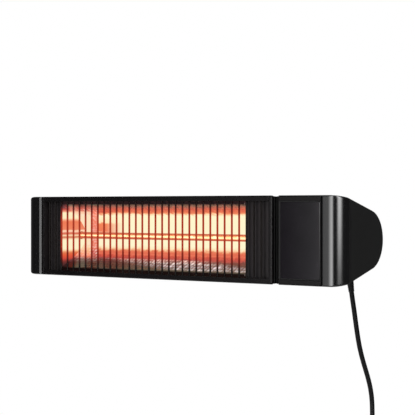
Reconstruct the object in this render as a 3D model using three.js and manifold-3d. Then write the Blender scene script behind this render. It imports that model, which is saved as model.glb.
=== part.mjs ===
// A wall-mounted infrared bar heater, in millimetres.
//
// Seen from the room it is, from left to right: a rounded end cap, a long lamp section
// with a wire guard over a polished trough and one quartz lamp, a narrow ringed joint,
// a short control head behind smoked glass, and a second rounded cap with the mains lead.
// The lamp section turns about its own nose: on a hollow steel tube in the ringed joint
// and on a screw in the wall bracket's arm at the far end. The head stays still.
//
// +X runs along the bar to the viewer's right, +Y goes into the wall, +Z is up. The
// origin is on the wall plate's back face, in the middle of the bar's length and height.
// Inside the bar's own group, y is the depth behind the front face.

import * as THREE from 'three';
import { mergeVertices } from 'three/addons/utils/BufferGeometryUtils.js';
import Module from 'manifold-3d';

const wasm = await Module();
wasm.setup();

// ---------------------------------------------------------------- driving dimensions

// Clearances
const FIT = 0.3; // between pieces that sit against each other
const RUN = 0.35; // round a shaft that turns

// The bar's cross-section: a tall front face, two straight slants and a round nose
const HEIGHT = 130;
const DEPTH = 122;
const NOSE_RADIUS = 44;
const EDGE_ROUND = 2.5;
const HOUSING_WALL = 2;
const LIP_HEIGHT = 8.7; // the front face's strip above and below the opening

// Lengths along the bar
const CAP_LENGTH = 36.2;
const MOUTH_LENGTH = 362.4; // of the reflector's mouth
const END_SPACE = 35; // left of the mouth, for a lamp holder and an end frame
const LEAD_SPACE = 52.6; // right of it, where the lamp's leads loop on to the head as well
const GROOVE = 2.1; // the ringed joint has three grooves ...
const RIB = 2.1; // ... and two ribs between them
const HEAD_LENGTH = 69.5;

// End caps
const CAP_CORNER = 24; // the big round from the front face to the side
const CAP_RIM = 2.2; // the bevelled rim round the flat side ...
const CAP_RIM_DROP = 1.3; // ... draws the outline in by this much ...
const CAP_RIM_SET_BACK = 0.4; // ... and the front face by this much
const CAP_WALL = 2.6;
const CAP_CHAMFER = 3.4; // along the front edge next to the seam
const CAP_CHAMFER_DEPTH = 1.6;
const CAP_BOSS_WALL = 2.6; // round the screw holes inside the cap
const CAP_SCREW_DEPTH = 12;

// Lamp section
const STILE = 6; // the end frames' width on the front face
const STILE_ROUND = 2;
const FRAME_WEB = 2.6;
const SPIGOT_LENGTH = 4;
const SPIGOT_WALL = 1.6;
const SCREW_PORT = 3; // outer radius of the tubes that take the frame screws
const SCREW_HOLE = 1.4;
const FRONT_PORT_DEPTH = 24;
const REAR_PORT_ANGLE = Math.PI / 4;
const PORT_SINK = 0.6; // how far a screw tube runs into the wall that carries it

// Guard
const WIRE = 3;
const RAIL_WIRE = 3.4;
const WIRE_DEPTH = 5.5;
const WIRE_PITCH = 12.93;
const FIRST_WIRE = 14.8; // its middle, from the lamp section's left end
const WELD = 0.4; // how far a wire sinks into its rail
const GUARD_PANELS = 3;

// Reflector and lamp
const MOUTH_INSET = 4.3; // from the opening's edge to the trough's
const MOUTH_DEPTH = 11.5;
const TROUGH_DEPTH = 62;
const SHEET = 1;
const END_WALL_MARGIN = 2.5;
const LAMP_RADIUS = 5.5;
const QUARTZ_WALL = 1;
const LAMP_HOLE_CLEARANCE = 1.5;
const BASE_RADIUS = 7;
const BASE_LENGTH = 15;
const BASE_COLLAR = 9; // the round part of that length; the rest is a flat blade
const BASE_BLADE_WIDTH = 10;
const BASE_BLADE_THICKNESS = 5;
const LAMP_PAST_MOUTH = 5; // how far the quartz runs on behind each end wall
const HOLDER_LENGTH = 13;
const HOLDER_HALF = 12;
const HOLDER_BACK = 9.6; // behind the lamp's centre line
const HOLDER_SLOT = 11.2; // the slot that the lamp's base snaps in through
const FILAMENT_RADIUS = 1.7;
const FILAMENT_LEAD = 0.6;
const FILAMENT_SUPPORTS = 9;
const SUPPORT_WIDTH = 1.2;
const CUTOUT_RADIUS = 8;
const CUTOUT_LENGTH = 9;
const CUTOUT_CAN = 5.4; // the metal can's part of that length
const CUTOUT_COVER = 6; // the cover's radius
const CUTOUT_TAB = 5; // how far its tabs stand out
const CUTOUT_TAB_WIDTH = 6;
const CUTOUT_TAB_THICKNESS = 1.3;
const CUTOUT_DEPTH = 30;
const CUTOUT_HEIGHT = 26;

// The ringed joint and its pivot tube
const GROOVE_DEPTH = 6;
const RIB_DEPTH = 1.2;
const THRUST_RADIUS = 30;
const TUBE_RADIUS = 9;
const TUBE_BORE = 6;
const TUBE_FLANGE = 14;
const TUBE_FLANGE_LENGTH = 3;
const WASHER_LENGTH = 1.2;
const NUT_LENGTH = 4;
const NUT_RADIUS = 14;
const WASHER_RADIUS = 16;
const TUBE_PAST_NUT = 1;

// Control head
const HEAD_PLATE = 3;
const GLASS_THICKNESS = 3;
const GLASS_RECESS = 0.3;
const REVEAL = 1.5; // the dark line round the glass
const HEAD_STILE = 3.6; // the frame's strip next to the joint
const TRAY_PLATE = 2;
const TRAY_FLANGE = 2.4; // how far the tray reaches behind the lips
const TRAY_STEP = 0.6; // how far its rim stays behind the front face
const GLASS_CORNER = 1;
const STANDOFF_RADIUS = 3;
const STANDOFF_INSET = 8; // from the glass's edge
const STANDOFF_LENGTH = 3;
const BOARD_THICKNESS = 1.6;
const BOARD_MARGIN = 4;
const BOARD_HOLE = 1.6;
const BOARD_PARTS = [ // x, z, width, height and how tall
  [-8, 14, 12, 12, 2],
  [12, 8, 7, 16, 9],
  [12, -12, 7, 16, 9],
  [0, 36, 30, 7, 6],
];
const DISPLAY_SIZE = [30, 14];
const DISPLAY_HEIGHT = 22;
const RECEIVER_RADIUS = 3;
const RECEIVER_HEIGHT = -30;
const RELAY_SIZE = [16, 18, 20];
const RELAY_GAP = 4;
const RELAY_INSET = 4.2; // from the board's left edge
const RELAY_BOTTOM = -16; // the upper one's
const TERMINAL_SIZE = [13, 22, 34];
const TERMINAL_POLES = 3;
const TERMINAL_PLACE = [24, 8]; // its front's depth and its bottom's height
const TERMINAL_SCREW = 3;
const TERMINAL_BORE = 2;

// Rocker switch in the head's underside
const SWITCH_DEPTH = 50;
const SWITCH_LENGTH = 28;
const SWITCH_WIDTH = 12;
const SWITCH_BODY = 17;
const SWITCH_BEZEL = 2;
const SWITCH_BEZEL_THICKNESS = 1.6;
const SWITCH_WELL = 6;
const SWITCH_TAB = [1, 6, 7]; // a tab's thickness, width and length
const SWITCH_TAB_PLACE = 7.5; // from the middle
const ROCKER_LENGTH = 23.6;
const ROCKER_WIDTH = 8.4;
const ROCKER_SWING_ROOM = 0.9; // between each end of the rocker and its well
const ROCKER_TOP = 4.2; // its ends' height over the pivot ...
const ROCKER_DIP = 2.4; // ... its dished middle's ...
const ROCKER_SIDE = 0.5; // ... and how far its ends and its foot lie below
const ROCKER_FOOT = 3.5;
const ROCKER_FOOT_HALF = 3;
const ROCKER_PIVOT = -1; // below the housing's skin
const ROCKER_TILT = THREE.MathUtils.degToRad(9);

// Wall bracket
const WALL_GAP = 35; // from the wall to the back of the nose
const PLATE_THICKNESS = 2.5;
const PLATE_HEIGHT = 44;
const PLATE_FLANGE = 9;
const PLATE_RIGHT = 250;
const SLOT_RADIUS = 3.25;
const SLOT_LENGTH = 18;
const SLOT_PLACES = [-200, -80, 80, 180];
const ARM_THICKNESS = 3;
const ARM_RADIUS = 17;
const PIN_RADIUS = 5;
const PIN_LENGTH = 22;
const KNOB_RADIUS = 13;
const KNOB_LENGTH = 10;
const KNOB_LOBES = 6;
const KNOB_LOBE_RADIUS = 4.3;
const ARM_WASHER = 1;
const BUSH_WALL = 2;
const HUB_RADIUS = 12;
const PIN_PAST_HUB = 2;
const SADDLE_LENGTH = 46;
const SADDLE_HALF_HEIGHT = 30;
const SADDLE_WALL = 4; // round its hollows and between them

// Mains lead
const CORD = 7;
const CORD_INSET = 18; // its exit, in from the outer side of the right cap
const CORD_DEPTH = 51.5;
const RELIEF_LENGTH = 22;
const RELIEF_TOP = 4.9;
const RELIEF_END = 4.1;
const RELIEF_STRAIGHT = 7.7; // from the housing's skin to where the taper starts
const GLAND_SHANK = 8;
const GLAND_NUT_RADIUS = 9;
const GLAND_NUT_LENGTH = 4;
const HANG_DEPTH = 121.8; // behind the front face, where the lead hangs plumb
const COIL_BOTTOM_RADIUS = 36; // the innermost turn's centre line
const COIL_PITCH = 8.4; // from turn to turn and from layer to layer
const COIL_LAYERS = 4;
const SPIRAL_TURNS = 1.125; // in each layer
const CLIMB_TURNS = 0.5; // from layer to layer
const COIL_HEIGHT = -326; // of the coil's centre
const STEPS_PER_TURN = 24;
const COIL_SIDES = 6;
const TAIL = 16;
const TIE_WIDTH = 8;
const TIE_THICKNESS = 1.3;
const TIE_CLEARANCE = 0.7;
const PLUG_RADIUS = 19;
const PLUG_LENGTH = 34;
const PLUG_RELIEF = 20;
const PLUG_GROOVE = 4; // radius of the keyway in each side
const PLUG_GROOVE_LENGTH = 12;
const PIN_SPACING = 19;
const PLUG_PIN_RADIUS = 2.4;
const PLUG_PIN_LENGTH = 19;

// ------------------------------------------------------------------- derived places

const JOINT_LENGTH = 3 * GROOVE + 2 * RIB;
const LAMP_SECTION_LENGTH = END_SPACE + MOUTH_LENGTH + LEAD_SPACE;
const LENGTH = 2 * (CAP_LENGTH + FIT) + LAMP_SECTION_LENGTH + JOINT_LENGTH + HEAD_LENGTH;
const LEFT = -LENGTH / 2;
const RIGHT = LENGTH / 2;
const LAMP_LEFT = LEFT + CAP_LENGTH + FIT;
const LAMP_RIGHT = LAMP_LEFT + LAMP_SECTION_LENGTH;
const HEAD_LEFT = LAMP_RIGHT + JOINT_LENGTH;
const FRONT_Y = -WALL_GAP - DEPTH;

const NOSE_DEPTH = DEPTH - NOSE_RADIUS; // the nose's centre, which the section turns about
const CORNER_DISTANCE = Math.hypot(NOSE_DEPTH, HEIGHT / 2);
const TAPER = Math.atan2(HEIGHT / 2, NOSE_DEPTH) - Math.asin(NOSE_RADIUS / CORNER_DISTANCE);
const OPENING_HALF = HEIGHT / 2 - LIP_HEIGHT;
const MOUTH_HALF_HEIGHT = OPENING_HALF - MOUTH_INSET;

const MOUTH_LEFT = LAMP_LEFT + END_SPACE;
const MOUTH_RIGHT = MOUTH_LEFT + MOUTH_LENGTH;
const MOUTH_MIDDLE = (MOUTH_LEFT + MOUTH_RIGHT) / 2;
const APEX_DEPTH = MOUTH_DEPTH + TROUGH_DEPTH;
const FOCAL_LENGTH = MOUTH_HALF_HEIGHT ** 2 / (4 * TROUGH_DEPTH);
const LAMP_DEPTH = APEX_DEPTH - FOCAL_LENGTH; // the lamp lies in the trough's focus
const ARM_RIGHT = LEFT - 2 * FIT - ARM_WASHER;
const ARM_LEFT = ARM_RIGHT - ARM_THICKNESS;

// --------------------------------------------------------------------------- colours

function material(color, roughness, metalness) {
  return new THREE.MeshStandardMaterial({ color, roughness, metalness });
}
const blackPaint = material(0x2b292b, 0.45, 0.3);
const blackGloss = material(0x1b1b1c, 0.25, 0.1);
const blackPlastic = material(0x161617, 0.6, 0);
const smokedGlass = material(0x29242a, 0.08, 0);
const polishedAluminium = material(0xd8d4cc, 0.15, 1);
const steelWire = material(0x3c3836, 0.4, 0.8);
const zincSteel = material(0xa9abac, 0.4, 0.9);
const bracketPaint = material(0x202021, 0.55, 0.2);
const quartz = material(0xffc79a, 0.05, 0);
const tungsten = material(0xfff0c8, 0.4, 0);
const ceramic = material(0xe9e4d8, 0.6, 0);
const boardGreen = material(0x1f5a37, 0.5, 0);
const relayBlue = material(0x2b4a7c, 0.5, 0);
const paleNylon = material(0xdedbd0, 0.5, 0);
const rubber = material(0x121213, 0.7, 0);
const plugPlastic = material(0x17171a, 0.45, 0);
const nickel = material(0xc9c7c0, 0.25, 1);

// ------------------------------------------------------------------- solids and sweeps

// A closed geometry as a solid that can be cut and joined.
function solid(geometry) {
  const bare = geometry.clone();
  bare.deleteAttribute('normal');
  bare.deleteAttribute('uv');
  const merged = mergeVertices(bare, 1e-4);
  const vertProperties = merged.attributes.position.array;
  const triVerts = Uint32Array.from(merged.index.array);
  return new wasm.Manifold(new wasm.Mesh({ numProp: 3, vertProperties, triVerts }));
}

// The flat-shaded geometry of a solid.
function geometryOf(cut) {
  const { vertProperties, triVerts, numProp } = cut.getMesh();
  const geometry = new THREE.BufferGeometry();
  const positions = new THREE.InterleavedBuffer(vertProperties, numProp);
  geometry.setAttribute('position', new THREE.InterleavedBufferAttribute(positions, 3, 0));
  geometry.setIndex(Array.from(triVerts));
  const flat = geometry.toNonIndexed();
  flat.computeVertexNormals();
  return flat;
}

function piece(name, shape, surface) {
  const geometry = shape instanceof THREE.BufferGeometry ? shape : geometryOf(shape);
  const mesh = new THREE.Mesh(geometry, surface);
  mesh.name = name;
  return mesh;
}

function box([x0, x1], [y0, y1], [z0, z1]) {
  const geometry = new THREE.BoxGeometry(x1 - x0, y1 - y0, z1 - z0);
  return solid(geometry.translate((x0 + x1) / 2, (y0 + y1) / 2, (z0 + z1) / 2));
}

// A round bar along x, y or z.
function rod(axis, radius, from, to, at, sides = 24) {
  const geometry = new THREE.CylinderGeometry(radius, radius, to - from, sides);
  const middle = (from + to) / 2;
  if (axis === 'x') geometry.rotateZ(-Math.PI / 2).translate(middle, at[0], at[1]);
  if (axis === 'y') geometry.translate(at[0], middle, at[1]);
  if (axis === 'z') geometry.rotateX(Math.PI / 2).translate(at[0], at[1], middle);
  return solid(geometry);
}

function tube(axis, radius, bore, from, to, at, sides = 24) {
  const hole = rod(axis, bore, from - 1, to + 1, at, sides);
  return rod(axis, radius, from, to, at, sides).subtract(hole);
}

function arc(x, y, radius, from, to, steps) {
  return Array.from({ length: steps + 1 }, (_, i) => {
    const angle = from + ((to - from) * i) / steps;
    return new THREE.Vector2(x + radius * Math.cos(angle), y + radius * Math.sin(angle));
  });
}

// A section drawn as (depth, height), run along the bar.
function alongBar(outlinePoints, from, to) {
  const shape = new THREE.Shape(outlinePoints);
  const geometry = new THREE.ExtrudeGeometry(shape, { depth: to - from, bevelEnabled: false });
  const turn = new THREE.Matrix4().makeBasis(
    new THREE.Vector3(0, 1, 0),
    new THREE.Vector3(0, 0, 1),
    new THREE.Vector3(1, 0, 0),
  );
  return solid(geometry.applyMatrix4(turn).translate(from, 0, 0));
}

// Joins sections of equal point counts, given as { x, points }, with x rising.
function loft(sections) {
  const count = sections[0].points.length;
  const positions = sections.flatMap(({ x, points }) => points.flatMap((p) => [x, p.x, p.y]));
  const last = (sections.length - 1) * count;
  const faces = [];
  for (let s = 0; s < last; s += count) {
    for (let i = 0; i < count; i++) {
      const j = (i + 1) % count;
      faces.push(s + i, s + count + i, s + count + j);
      faces.push(s + i, s + count + j, s + j);
    }
  }
  for (let i = 1; i < count - 1; i++) {
    faces.push(0, i, i + 1);
    faces.push(last, last + i + 1, last + i);
  }
  const geometry = new THREE.BufferGeometry();
  geometry.setAttribute('position', new THREE.Float32BufferAttribute(positions, 3));
  geometry.setIndex(faces);
  return solid(geometry);
}

// -------------------------------------------------------------- the bar's cross-section

// The height of the upper slant at a depth, moved in by inset.
function slantAt(depth, inset = 0) {
  return HEIGHT / 2 - depth * Math.tan(TAPER) - inset / Math.cos(TAPER);
}

// The section moved in by inset all round, with its front face at the depth front.
function outline({ inset = 0, front = inset } = {}) {
  const round = Math.max(EDGE_ROUND - inset, 0.5);
  const cornerDepth = front + round;
  const cornerHeight = slantAt(cornerDepth, inset + round);
  const slantNormal = Math.PI / 2 - TAPER;
  const upper = [
    ...arc(cornerDepth, cornerHeight, round, Math.PI, slantNormal, 3),
    ...arc(NOSE_DEPTH, 0, NOSE_RADIUS - inset, slantNormal, 0, 10),
  ];
  const lower = upper.slice(0, -1).reverse();
  return [...upper, ...lower.map((p) => new THREE.Vector2(p.x, -p.y))];
}

function slab(inset, from, to) {
  return alongBar(outline({ inset }), from, to);
}

// The four places, as (depth, height), where screws run along the bar.
function screwPlaces() {
  const inset = HOUSING_WALL + SCREW_PORT - PORT_SINK;
  const frontHeight = slantAt(FRONT_PORT_DEPTH, inset);
  const reach = NOSE_RADIUS - inset;
  const rearDepth = NOSE_DEPTH + reach * Math.cos(REAR_PORT_ANGLE);
  const rearHeight = reach * Math.sin(REAR_PORT_ANGLE);
  return [-1, 1].flatMap((side) => [
    [FRONT_PORT_DEPTH, side * frontHeight],
    [rearDepth, side * rearHeight],
  ]);
}

// The aluminium extrusion: a shell with an open front between two lips, and screw ports.
function housing(from, to) {
  const opening = box([from - 1, to + 1], [-1, HOUSING_WALL + 1], [-OPENING_HALF, OPENING_HALF]);
  let shell = slab(0, from, to)
    .subtract(slab(HOUSING_WALL, from - 1, to + 1))
    .subtract(opening);
  for (const place of screwPlaces()) {
    shell = shell.add(rod('x', SCREW_PORT, from, to, place, 12));
    shell = shell.subtract(rod('x', SCREW_HOLE, from - 1, to + 1, place, 8));
  }
  return shell;
}

// ------------------------------------------------------------------------- end caps

// The depth of the cap's front face at a distance in from its outer side.
function capFront(distance, inset) {
  const radius = CAP_CORNER - inset;
  const short = Math.max(CAP_CORNER - Math.max(distance, inset), 0);
  return CAP_CORNER - Math.sqrt(Math.max(radius ** 2 - short ** 2, 0));
}

// The cap's body moved in by inset, as a loft from its outer side at x = 0.
function capBody(inset, to) {
  const turns = arc(0, 0, 1, 0, Math.PI / 2, 6);
  const distances = turns.map((p) => CAP_CORNER - (CAP_CORNER - inset) * p.x);
  distances.splice(1, 0, inset + CAP_RIM / 4);
  distances.push(to);
  const sections = [...new Set(distances)].sort((a, b) => a - b).map((x) => {
    const rim = Math.max(1 - (x - inset) / CAP_RIM, 0);
    const front = capFront(x, inset) + rim * CAP_RIM_SET_BACK;
    return { x, points: outline({ inset: inset + rim * CAP_RIM_DROP, front }) };
  });
  return loft(sections);
}

// A hollow cap in its own frame: x = 0 is the flat outer side and x rises to the seam.
function capShell() {
  const chamferStart = CAP_LENGTH - CAP_CHAMFER;
  const wedge = new THREE.Shape([
    new THREE.Vector2(chamferStart, -0.001),
    new THREE.Vector2(CAP_LENGTH + 1, CAP_CHAMFER_DEPTH * (1 + 1 / CAP_CHAMFER)),
    new THREE.Vector2(CAP_LENGTH + 1, -1),
    new THREE.Vector2(chamferStart, -1),
  ]);
  const bevel = new THREE.ExtrudeGeometry(wedge, { depth: HEIGHT + 2, bevelEnabled: false });
  let shell = capBody(0, CAP_LENGTH)
    .subtract(capBody(CAP_WALL, CAP_LENGTH + 1))
    .subtract(solid(bevel.translate(0, 0, -HEIGHT / 2 - 1)));
  for (const place of screwPlaces()) {
    const boss = rod('x', SCREW_HOLE + CAP_BOSS_WALL, CAP_WALL / 2, CAP_LENGTH, place, 10);
    const hole = rod('x', SCREW_HOLE, CAP_LENGTH - CAP_SCREW_DEPTH, CAP_LENGTH + 1, place, 8);
    shell = shell.add(boss.intersect(capBody(CAP_WALL / 2, CAP_LENGTH))).subtract(hole);
  }
  return shell;
}

function leftCap() {
  const pivot = [NOSE_DEPTH, 0];
  const bushRadius = PIN_RADIUS + RUN + BUSH_WALL;
  const hubLength = PIN_LENGTH - PIN_PAST_HUB;
  return capShell()
    .add(rod('x', HUB_RADIUS, CAP_WALL / 2, hubLength, pivot, 32))
    .subtract(rod('x', bushRadius + FIT, CAP_WALL, hubLength + 1, pivot, 32))
    .subtract(rod('x', PIN_RADIUS + RUN, -1, CAP_WALL + 1, pivot, 32));
}

// The cap on the cord's side, drawn like the left one: placed mirrored, x = 0 at its side.
function rightCap() {
  const hole = rod('z', RELIEF_TOP + FIT, -2 * CAP_WALL, CAP_WALL, [0, 0], 20);
  const placed = hole
    .rotate([THREE.MathUtils.radToDeg(Math.PI + TAPER), 0, 0])
    .translate([CORD_INSET, CORD_DEPTH, -slantAt(CORD_DEPTH)]);
  return capShell().subtract(placed);
}

// ---------------------------------------------------------------------- lamp section

// A moulded frame that closes one end of the extrusion, x = 0 on its outer face.
function endFrame(axleHole) {
  const round = (x) => {
    const short = Math.max(STILE_ROUND - x, 0);
    return STILE_ROUND - Math.sqrt(STILE_ROUND ** 2 - short ** 2);
  };
  const sections = [0, STILE_ROUND * 0.15, STILE_ROUND * 0.5, STILE_ROUND, STILE].map((x) => {
    const edge = round(Math.max(x, STILE_ROUND / 20));
    return { x, points: outline({ inset: edge / 2, front: edge }) };
  });
  const pocket = slab(HOUSING_WALL + FIT + SPIGOT_WALL, FRAME_WEB, STILE + SPIGOT_LENGTH + 1);
  const spigotFront = MOUTH_DEPTH + SHEET + FIT;
  const spigot = slab(HOUSING_WALL + FIT, STILE - 1, STILE + SPIGOT_LENGTH).subtract(
    box([STILE, STILE + SPIGOT_LENGTH + 1], [-1, spigotFront], [-HEIGHT, HEIGHT]),
  );
  let frame = loft(sections).add(spigot).subtract(pocket);
  for (const place of screwPlaces()) {
    const port = rod('x', SCREW_PORT + FIT, STILE, STILE + SPIGOT_LENGTH + 1, place, 12);
    frame = frame.subtract(port).subtract(rod('x', SCREW_HOLE, -1, STILE, place, 8));
  }
  const pivot = [NOSE_DEPTH, 0];
  return axleHole ? frame.subtract(rod('x', axleHole, -1, FRAME_WEB + 1, pivot, 32)) : frame;
}

// Upright wires welded to two rails that lie behind the lips. The grille is made as three
// panels, side by side; the rails meet midway between two wires. No wire comes closer to
// the right frame than half a pitch.
function guardPanel(panel) {
  const ends = [LAMP_LEFT + STILE + FIT, LAMP_RIGHT - STILE - FIT];
  const place = (i) => LAMP_LEFT + FIRST_WIRE + i * WIRE_PITCH;
  const count = Math.floor((ends[1] - place(0)) / WIRE_PITCH + 0.5);
  const first = Math.round((panel * count) / GUARD_PANELS);
  const next = Math.round(((panel + 1) * count) / GUARD_PANELS);
  const left = panel === 0 ? ends[0] : place(first - 0.5) + FIT / 2;
  const right = panel === GUARD_PANELS - 1 ? ends[1] : place(next - 0.5) - FIT / 2;
  const wireBack = WIRE_DEPTH + WIRE / 2;
  const wireEnd = slantAt(wireBack, HOUSING_WALL + FIT);
  const railDepth = wireBack + RAIL_WIRE / 2 - WELD;
  const railHeight = slantAt(railDepth, HOUSING_WALL + FIT + RAIL_WIRE / 2);
  let grille = rod('x', RAIL_WIRE / 2, left, right, [railDepth, railHeight], 8)
    .add(rod('x', RAIL_WIRE / 2, left, right, [railDepth, -railHeight], 8));
  for (let i = first; i < next; i++) {
    grille = grille.add(rod('z', WIRE / 2, -wireEnd, wireEnd, [place(i), WIRE_DEPTH], 6));
  }
  return grille;
}

// A point of the trough's parabola, moved out by offset; share runs from -1 to 1.
function troughPoint(share, offset) {
  const slope = (2 * TROUGH_DEPTH * share) / MOUTH_HALF_HEIGHT;
  const length = Math.hypot(1, slope);
  return new THREE.Vector2(
    APEX_DEPTH - TROUGH_DEPTH * share ** 2 + offset / length,
    MOUTH_HALF_HEIGHT * share + (offset * slope) / length,
  );
}

function trough(offset, steps = 24) {
  return Array.from({ length: steps + 1 }, (_, i) => troughPoint(1 - (2 * i) / steps, offset));
}

// The polished trough with a flange along each edge.
function reflector() {
  const flangeTip = slantAt(MOUTH_DEPTH + SHEET, HOUSING_WALL + FIT);
  const inner = trough(0);
  const outer = trough(SHEET).filter((p) => p.x > MOUTH_DEPTH + SHEET).reverse();
  const shape = [
    new THREE.Vector2(MOUTH_DEPTH, flangeTip),
    ...inner,
    new THREE.Vector2(MOUTH_DEPTH, -flangeTip),
    new THREE.Vector2(MOUTH_DEPTH + SHEET, -flangeTip),
    new THREE.Vector2(MOUTH_DEPTH + SHEET, -MOUTH_HALF_HEIGHT - SHEET),
    ...outer,
    new THREE.Vector2(MOUTH_DEPTH + SHEET, MOUTH_HALF_HEIGHT + SHEET),
    new THREE.Vector2(MOUTH_DEPTH + SHEET, flangeTip),
  ];
  return alongBar(shape, MOUTH_LEFT, MOUTH_RIGHT);
}

// The trough's end wall, x = 0 at the trough and x rising away from it.
function reflectorEnd() {
  const front = MOUTH_DEPTH + SHEET + FIT;
  const wall = alongBar(trough(END_WALL_MARGIN), 0, SHEET)
    .subtract(box([-1, SHEET + 1], [-HEIGHT, front], [-HEIGHT, HEIGHT]));
  const hole = rod('x', LAMP_RADIUS + LAMP_HOLE_CLEARANCE, -1, SHEET + 1, [LAMP_DEPTH, 0], 20);
  return wall.subtract(hole);
}

// A plain dark plate beside the trough's mouth, in front of a lamp holder.
function endCover(width) {
  const height = slantAt(MOUTH_DEPTH + SHEET, HOUSING_WALL + FIT);
  return box([0, width], [MOUTH_DEPTH, MOUTH_DEPTH + SHEET], [-height, height]);
}

function lampTube(halfLength) {
  const inner = LAMP_RADIUS - QUARTZ_WALL;
  return tube('x', LAMP_RADIUS, inner, -halfLength, halfLength, [0, 0], 20);
}

// The glowing coil, drawn as its outer shape, with the support discs that centre it.
function filament(halfLength) {
  const supportRadius = LAMP_RADIUS - QUARTZ_WALL - FIT;
  const glow = MOUTH_LENGTH / 2 - SUPPORT_WIDTH;
  const pitch = (2 * glow) / (FILAMENT_SUPPORTS - 1);
  const profile = [[0, -halfLength], [FILAMENT_LEAD, -halfLength]];
  for (let i = 0; i < FILAMENT_SUPPORTS; i++) {
    const middle = -glow + i * pitch;
    const before = i === 0 ? FILAMENT_LEAD : FILAMENT_RADIUS;
    const after = i === FILAMENT_SUPPORTS - 1 ? FILAMENT_LEAD : FILAMENT_RADIUS;
    profile.push([before, middle - SUPPORT_WIDTH / 2], [supportRadius, middle - SUPPORT_WIDTH / 2]);
    profile.push([supportRadius, middle + SUPPORT_WIDTH / 2], [after, middle + SUPPORT_WIDTH / 2]);
  }
  profile.push([FILAMENT_LEAD, halfLength], [0, halfLength]);
  const points = profile.map(([radius, along]) => new THREE.Vector2(radius, along));
  return new THREE.LatheGeometry(points, 8).rotateZ(-Math.PI / 2);
}

// The ceramic end of the lamp, pinched flat like the quartz it holds.
function lampBase() {
  const collar = rod('x', BASE_RADIUS, 0, BASE_COLLAR, [0, 0], 20);
  const width = [-BASE_BLADE_WIDTH / 2, BASE_BLADE_WIDTH / 2];
  const thickness = [-BASE_BLADE_THICKNESS / 2, BASE_BLADE_THICKNESS / 2];
  return collar.add(box([BASE_COLLAR / 2, BASE_LENGTH], width, thickness));
}

// The ceramic block that clips round a lamp base, x = 0 against the trough's end wall.
function lampHolder() {
  const through = [-1, HOLDER_LENGTH + 1];
  const block = box([0, HOLDER_LENGTH], [-HOLDER_HALF, HOLDER_BACK], [-HOLDER_HALF, HOLDER_HALF]);
  const bore = rod('x', BASE_RADIUS + FIT, ...through, [0, 0], 20);
  const slot = box(through, [-HOLDER_HALF - 1, 0], [-HOLDER_SLOT / 2, HOLDER_SLOT / 2]);
  return block.subtract(bore).subtract(slot);
}

function thermalCutout() {
  const can = rod('x', CUTOUT_RADIUS, 0, CUTOUT_CAN, [0, 0], 20);
  const cover = rod('x', CUTOUT_COVER, 0, CUTOUT_LENGTH, [0, 0], 20);
  const reach = CUTOUT_RADIUS + CUTOUT_TAB;
  const tabs = box(
    [CUTOUT_CAN / 2, CUTOUT_CAN / 2 + CUTOUT_TAB_THICKNESS],
    [-CUTOUT_TAB_WIDTH / 2, CUTOUT_TAB_WIDTH / 2],
    [-reach, reach],
  );
  return can.add(cover).add(tabs);
}

// ------------------------------------------------------------- ringed joint and pivot

// The half of the joint that turns with the lamp section; x = 0 on the section's end.
function lampRing() {
  const groove = slab(GROOVE_DEPTH, FIT, GROOVE + RIB);
  const rib = slab(RIB_DEPTH, GROOVE, GROOVE + RIB);
  const hole = rod('x', TUBE_RADIUS + RUN, -1, JOINT_LENGTH, [NOSE_DEPTH, 0], 32);
  return groove.add(rib).subtract(hole);
}

// The still half, drawn from the same x = 0.
function headRing() {
  const start = 2 * GROOVE + RIB;
  const thrust = rod('x', THRUST_RADIUS, GROOVE + RIB + RUN, start + RIB, [NOSE_DEPTH, 0], 32);
  const rib = slab(RIB_DEPTH, start, start + RIB);
  const groove = slab(GROOVE_DEPTH, start, JOINT_LENGTH - FIT);
  const hole = rod('x', TUBE_RADIUS + FIT, -1, JOINT_LENGTH + 1, [NOSE_DEPTH, 0], 32);
  return thrust.add(rib).add(groove).subtract(hole);
}

const WASHER_RIGHT = LAMP_RIGHT - FRAME_WEB - FIT;
const NUT_RIGHT = WASHER_RIGHT - WASHER_LENGTH - FIT;
const TUBE_LEFT = NUT_RIGHT - NUT_LENGTH - TUBE_PAST_NUT;
const FLANGE_LEFT = HEAD_LEFT + HEAD_PLATE + FIT;

function pivotTube() {
  const end = FLANGE_LEFT + TUBE_FLANGE_LENGTH;
  return rod('x', TUBE_RADIUS, TUBE_LEFT, end, [NOSE_DEPTH, 0], 32)
    .add(rod('x', TUBE_FLANGE, FLANGE_LEFT, end, [NOSE_DEPTH, 0], 32))
    .subtract(rod('x', TUBE_BORE, TUBE_LEFT - 1, end + 1, [NOSE_DEPTH, 0], 24));
}

function pivotNut() {
  const hexagon = rod('x', NUT_RADIUS, NUT_RIGHT - NUT_LENGTH, NUT_RIGHT, [NOSE_DEPTH, 0], 6);
  const bore = rod('x', TUBE_RADIUS + FIT, TUBE_LEFT, NUT_RIGHT + 1, [NOSE_DEPTH, 0], 32);
  return hexagon.subtract(bore);
}

function frictionWasher() {
  const left = WASHER_RIGHT - WASHER_LENGTH;
  return tube('x', WASHER_RADIUS, TUBE_RADIUS + FIT, left, WASHER_RIGHT, [NOSE_DEPTH, 0], 32);
}

// ---------------------------------------------------------------------- control head

// Places in the head, from its left end
const GLASS_LEFT = HEAD_STILE;
const GLASS_RIGHT = HEAD_LENGTH - REVEAL;
const GLASS_HALF = OPENING_HALF - REVEAL;
const GLASS_MIDDLE = (GLASS_LEFT + GLASS_RIGHT) / 2;
const TRAY_FRONT = GLASS_RECESS + GLASS_THICKNESS + FIT;
const BOARD_FRONT = TRAY_FRONT + TRAY_PLATE + STANDOFF_LENGTH + FIT;
const BOARD_BACK = BOARD_FRONT + BOARD_THICKNESS;

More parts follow.
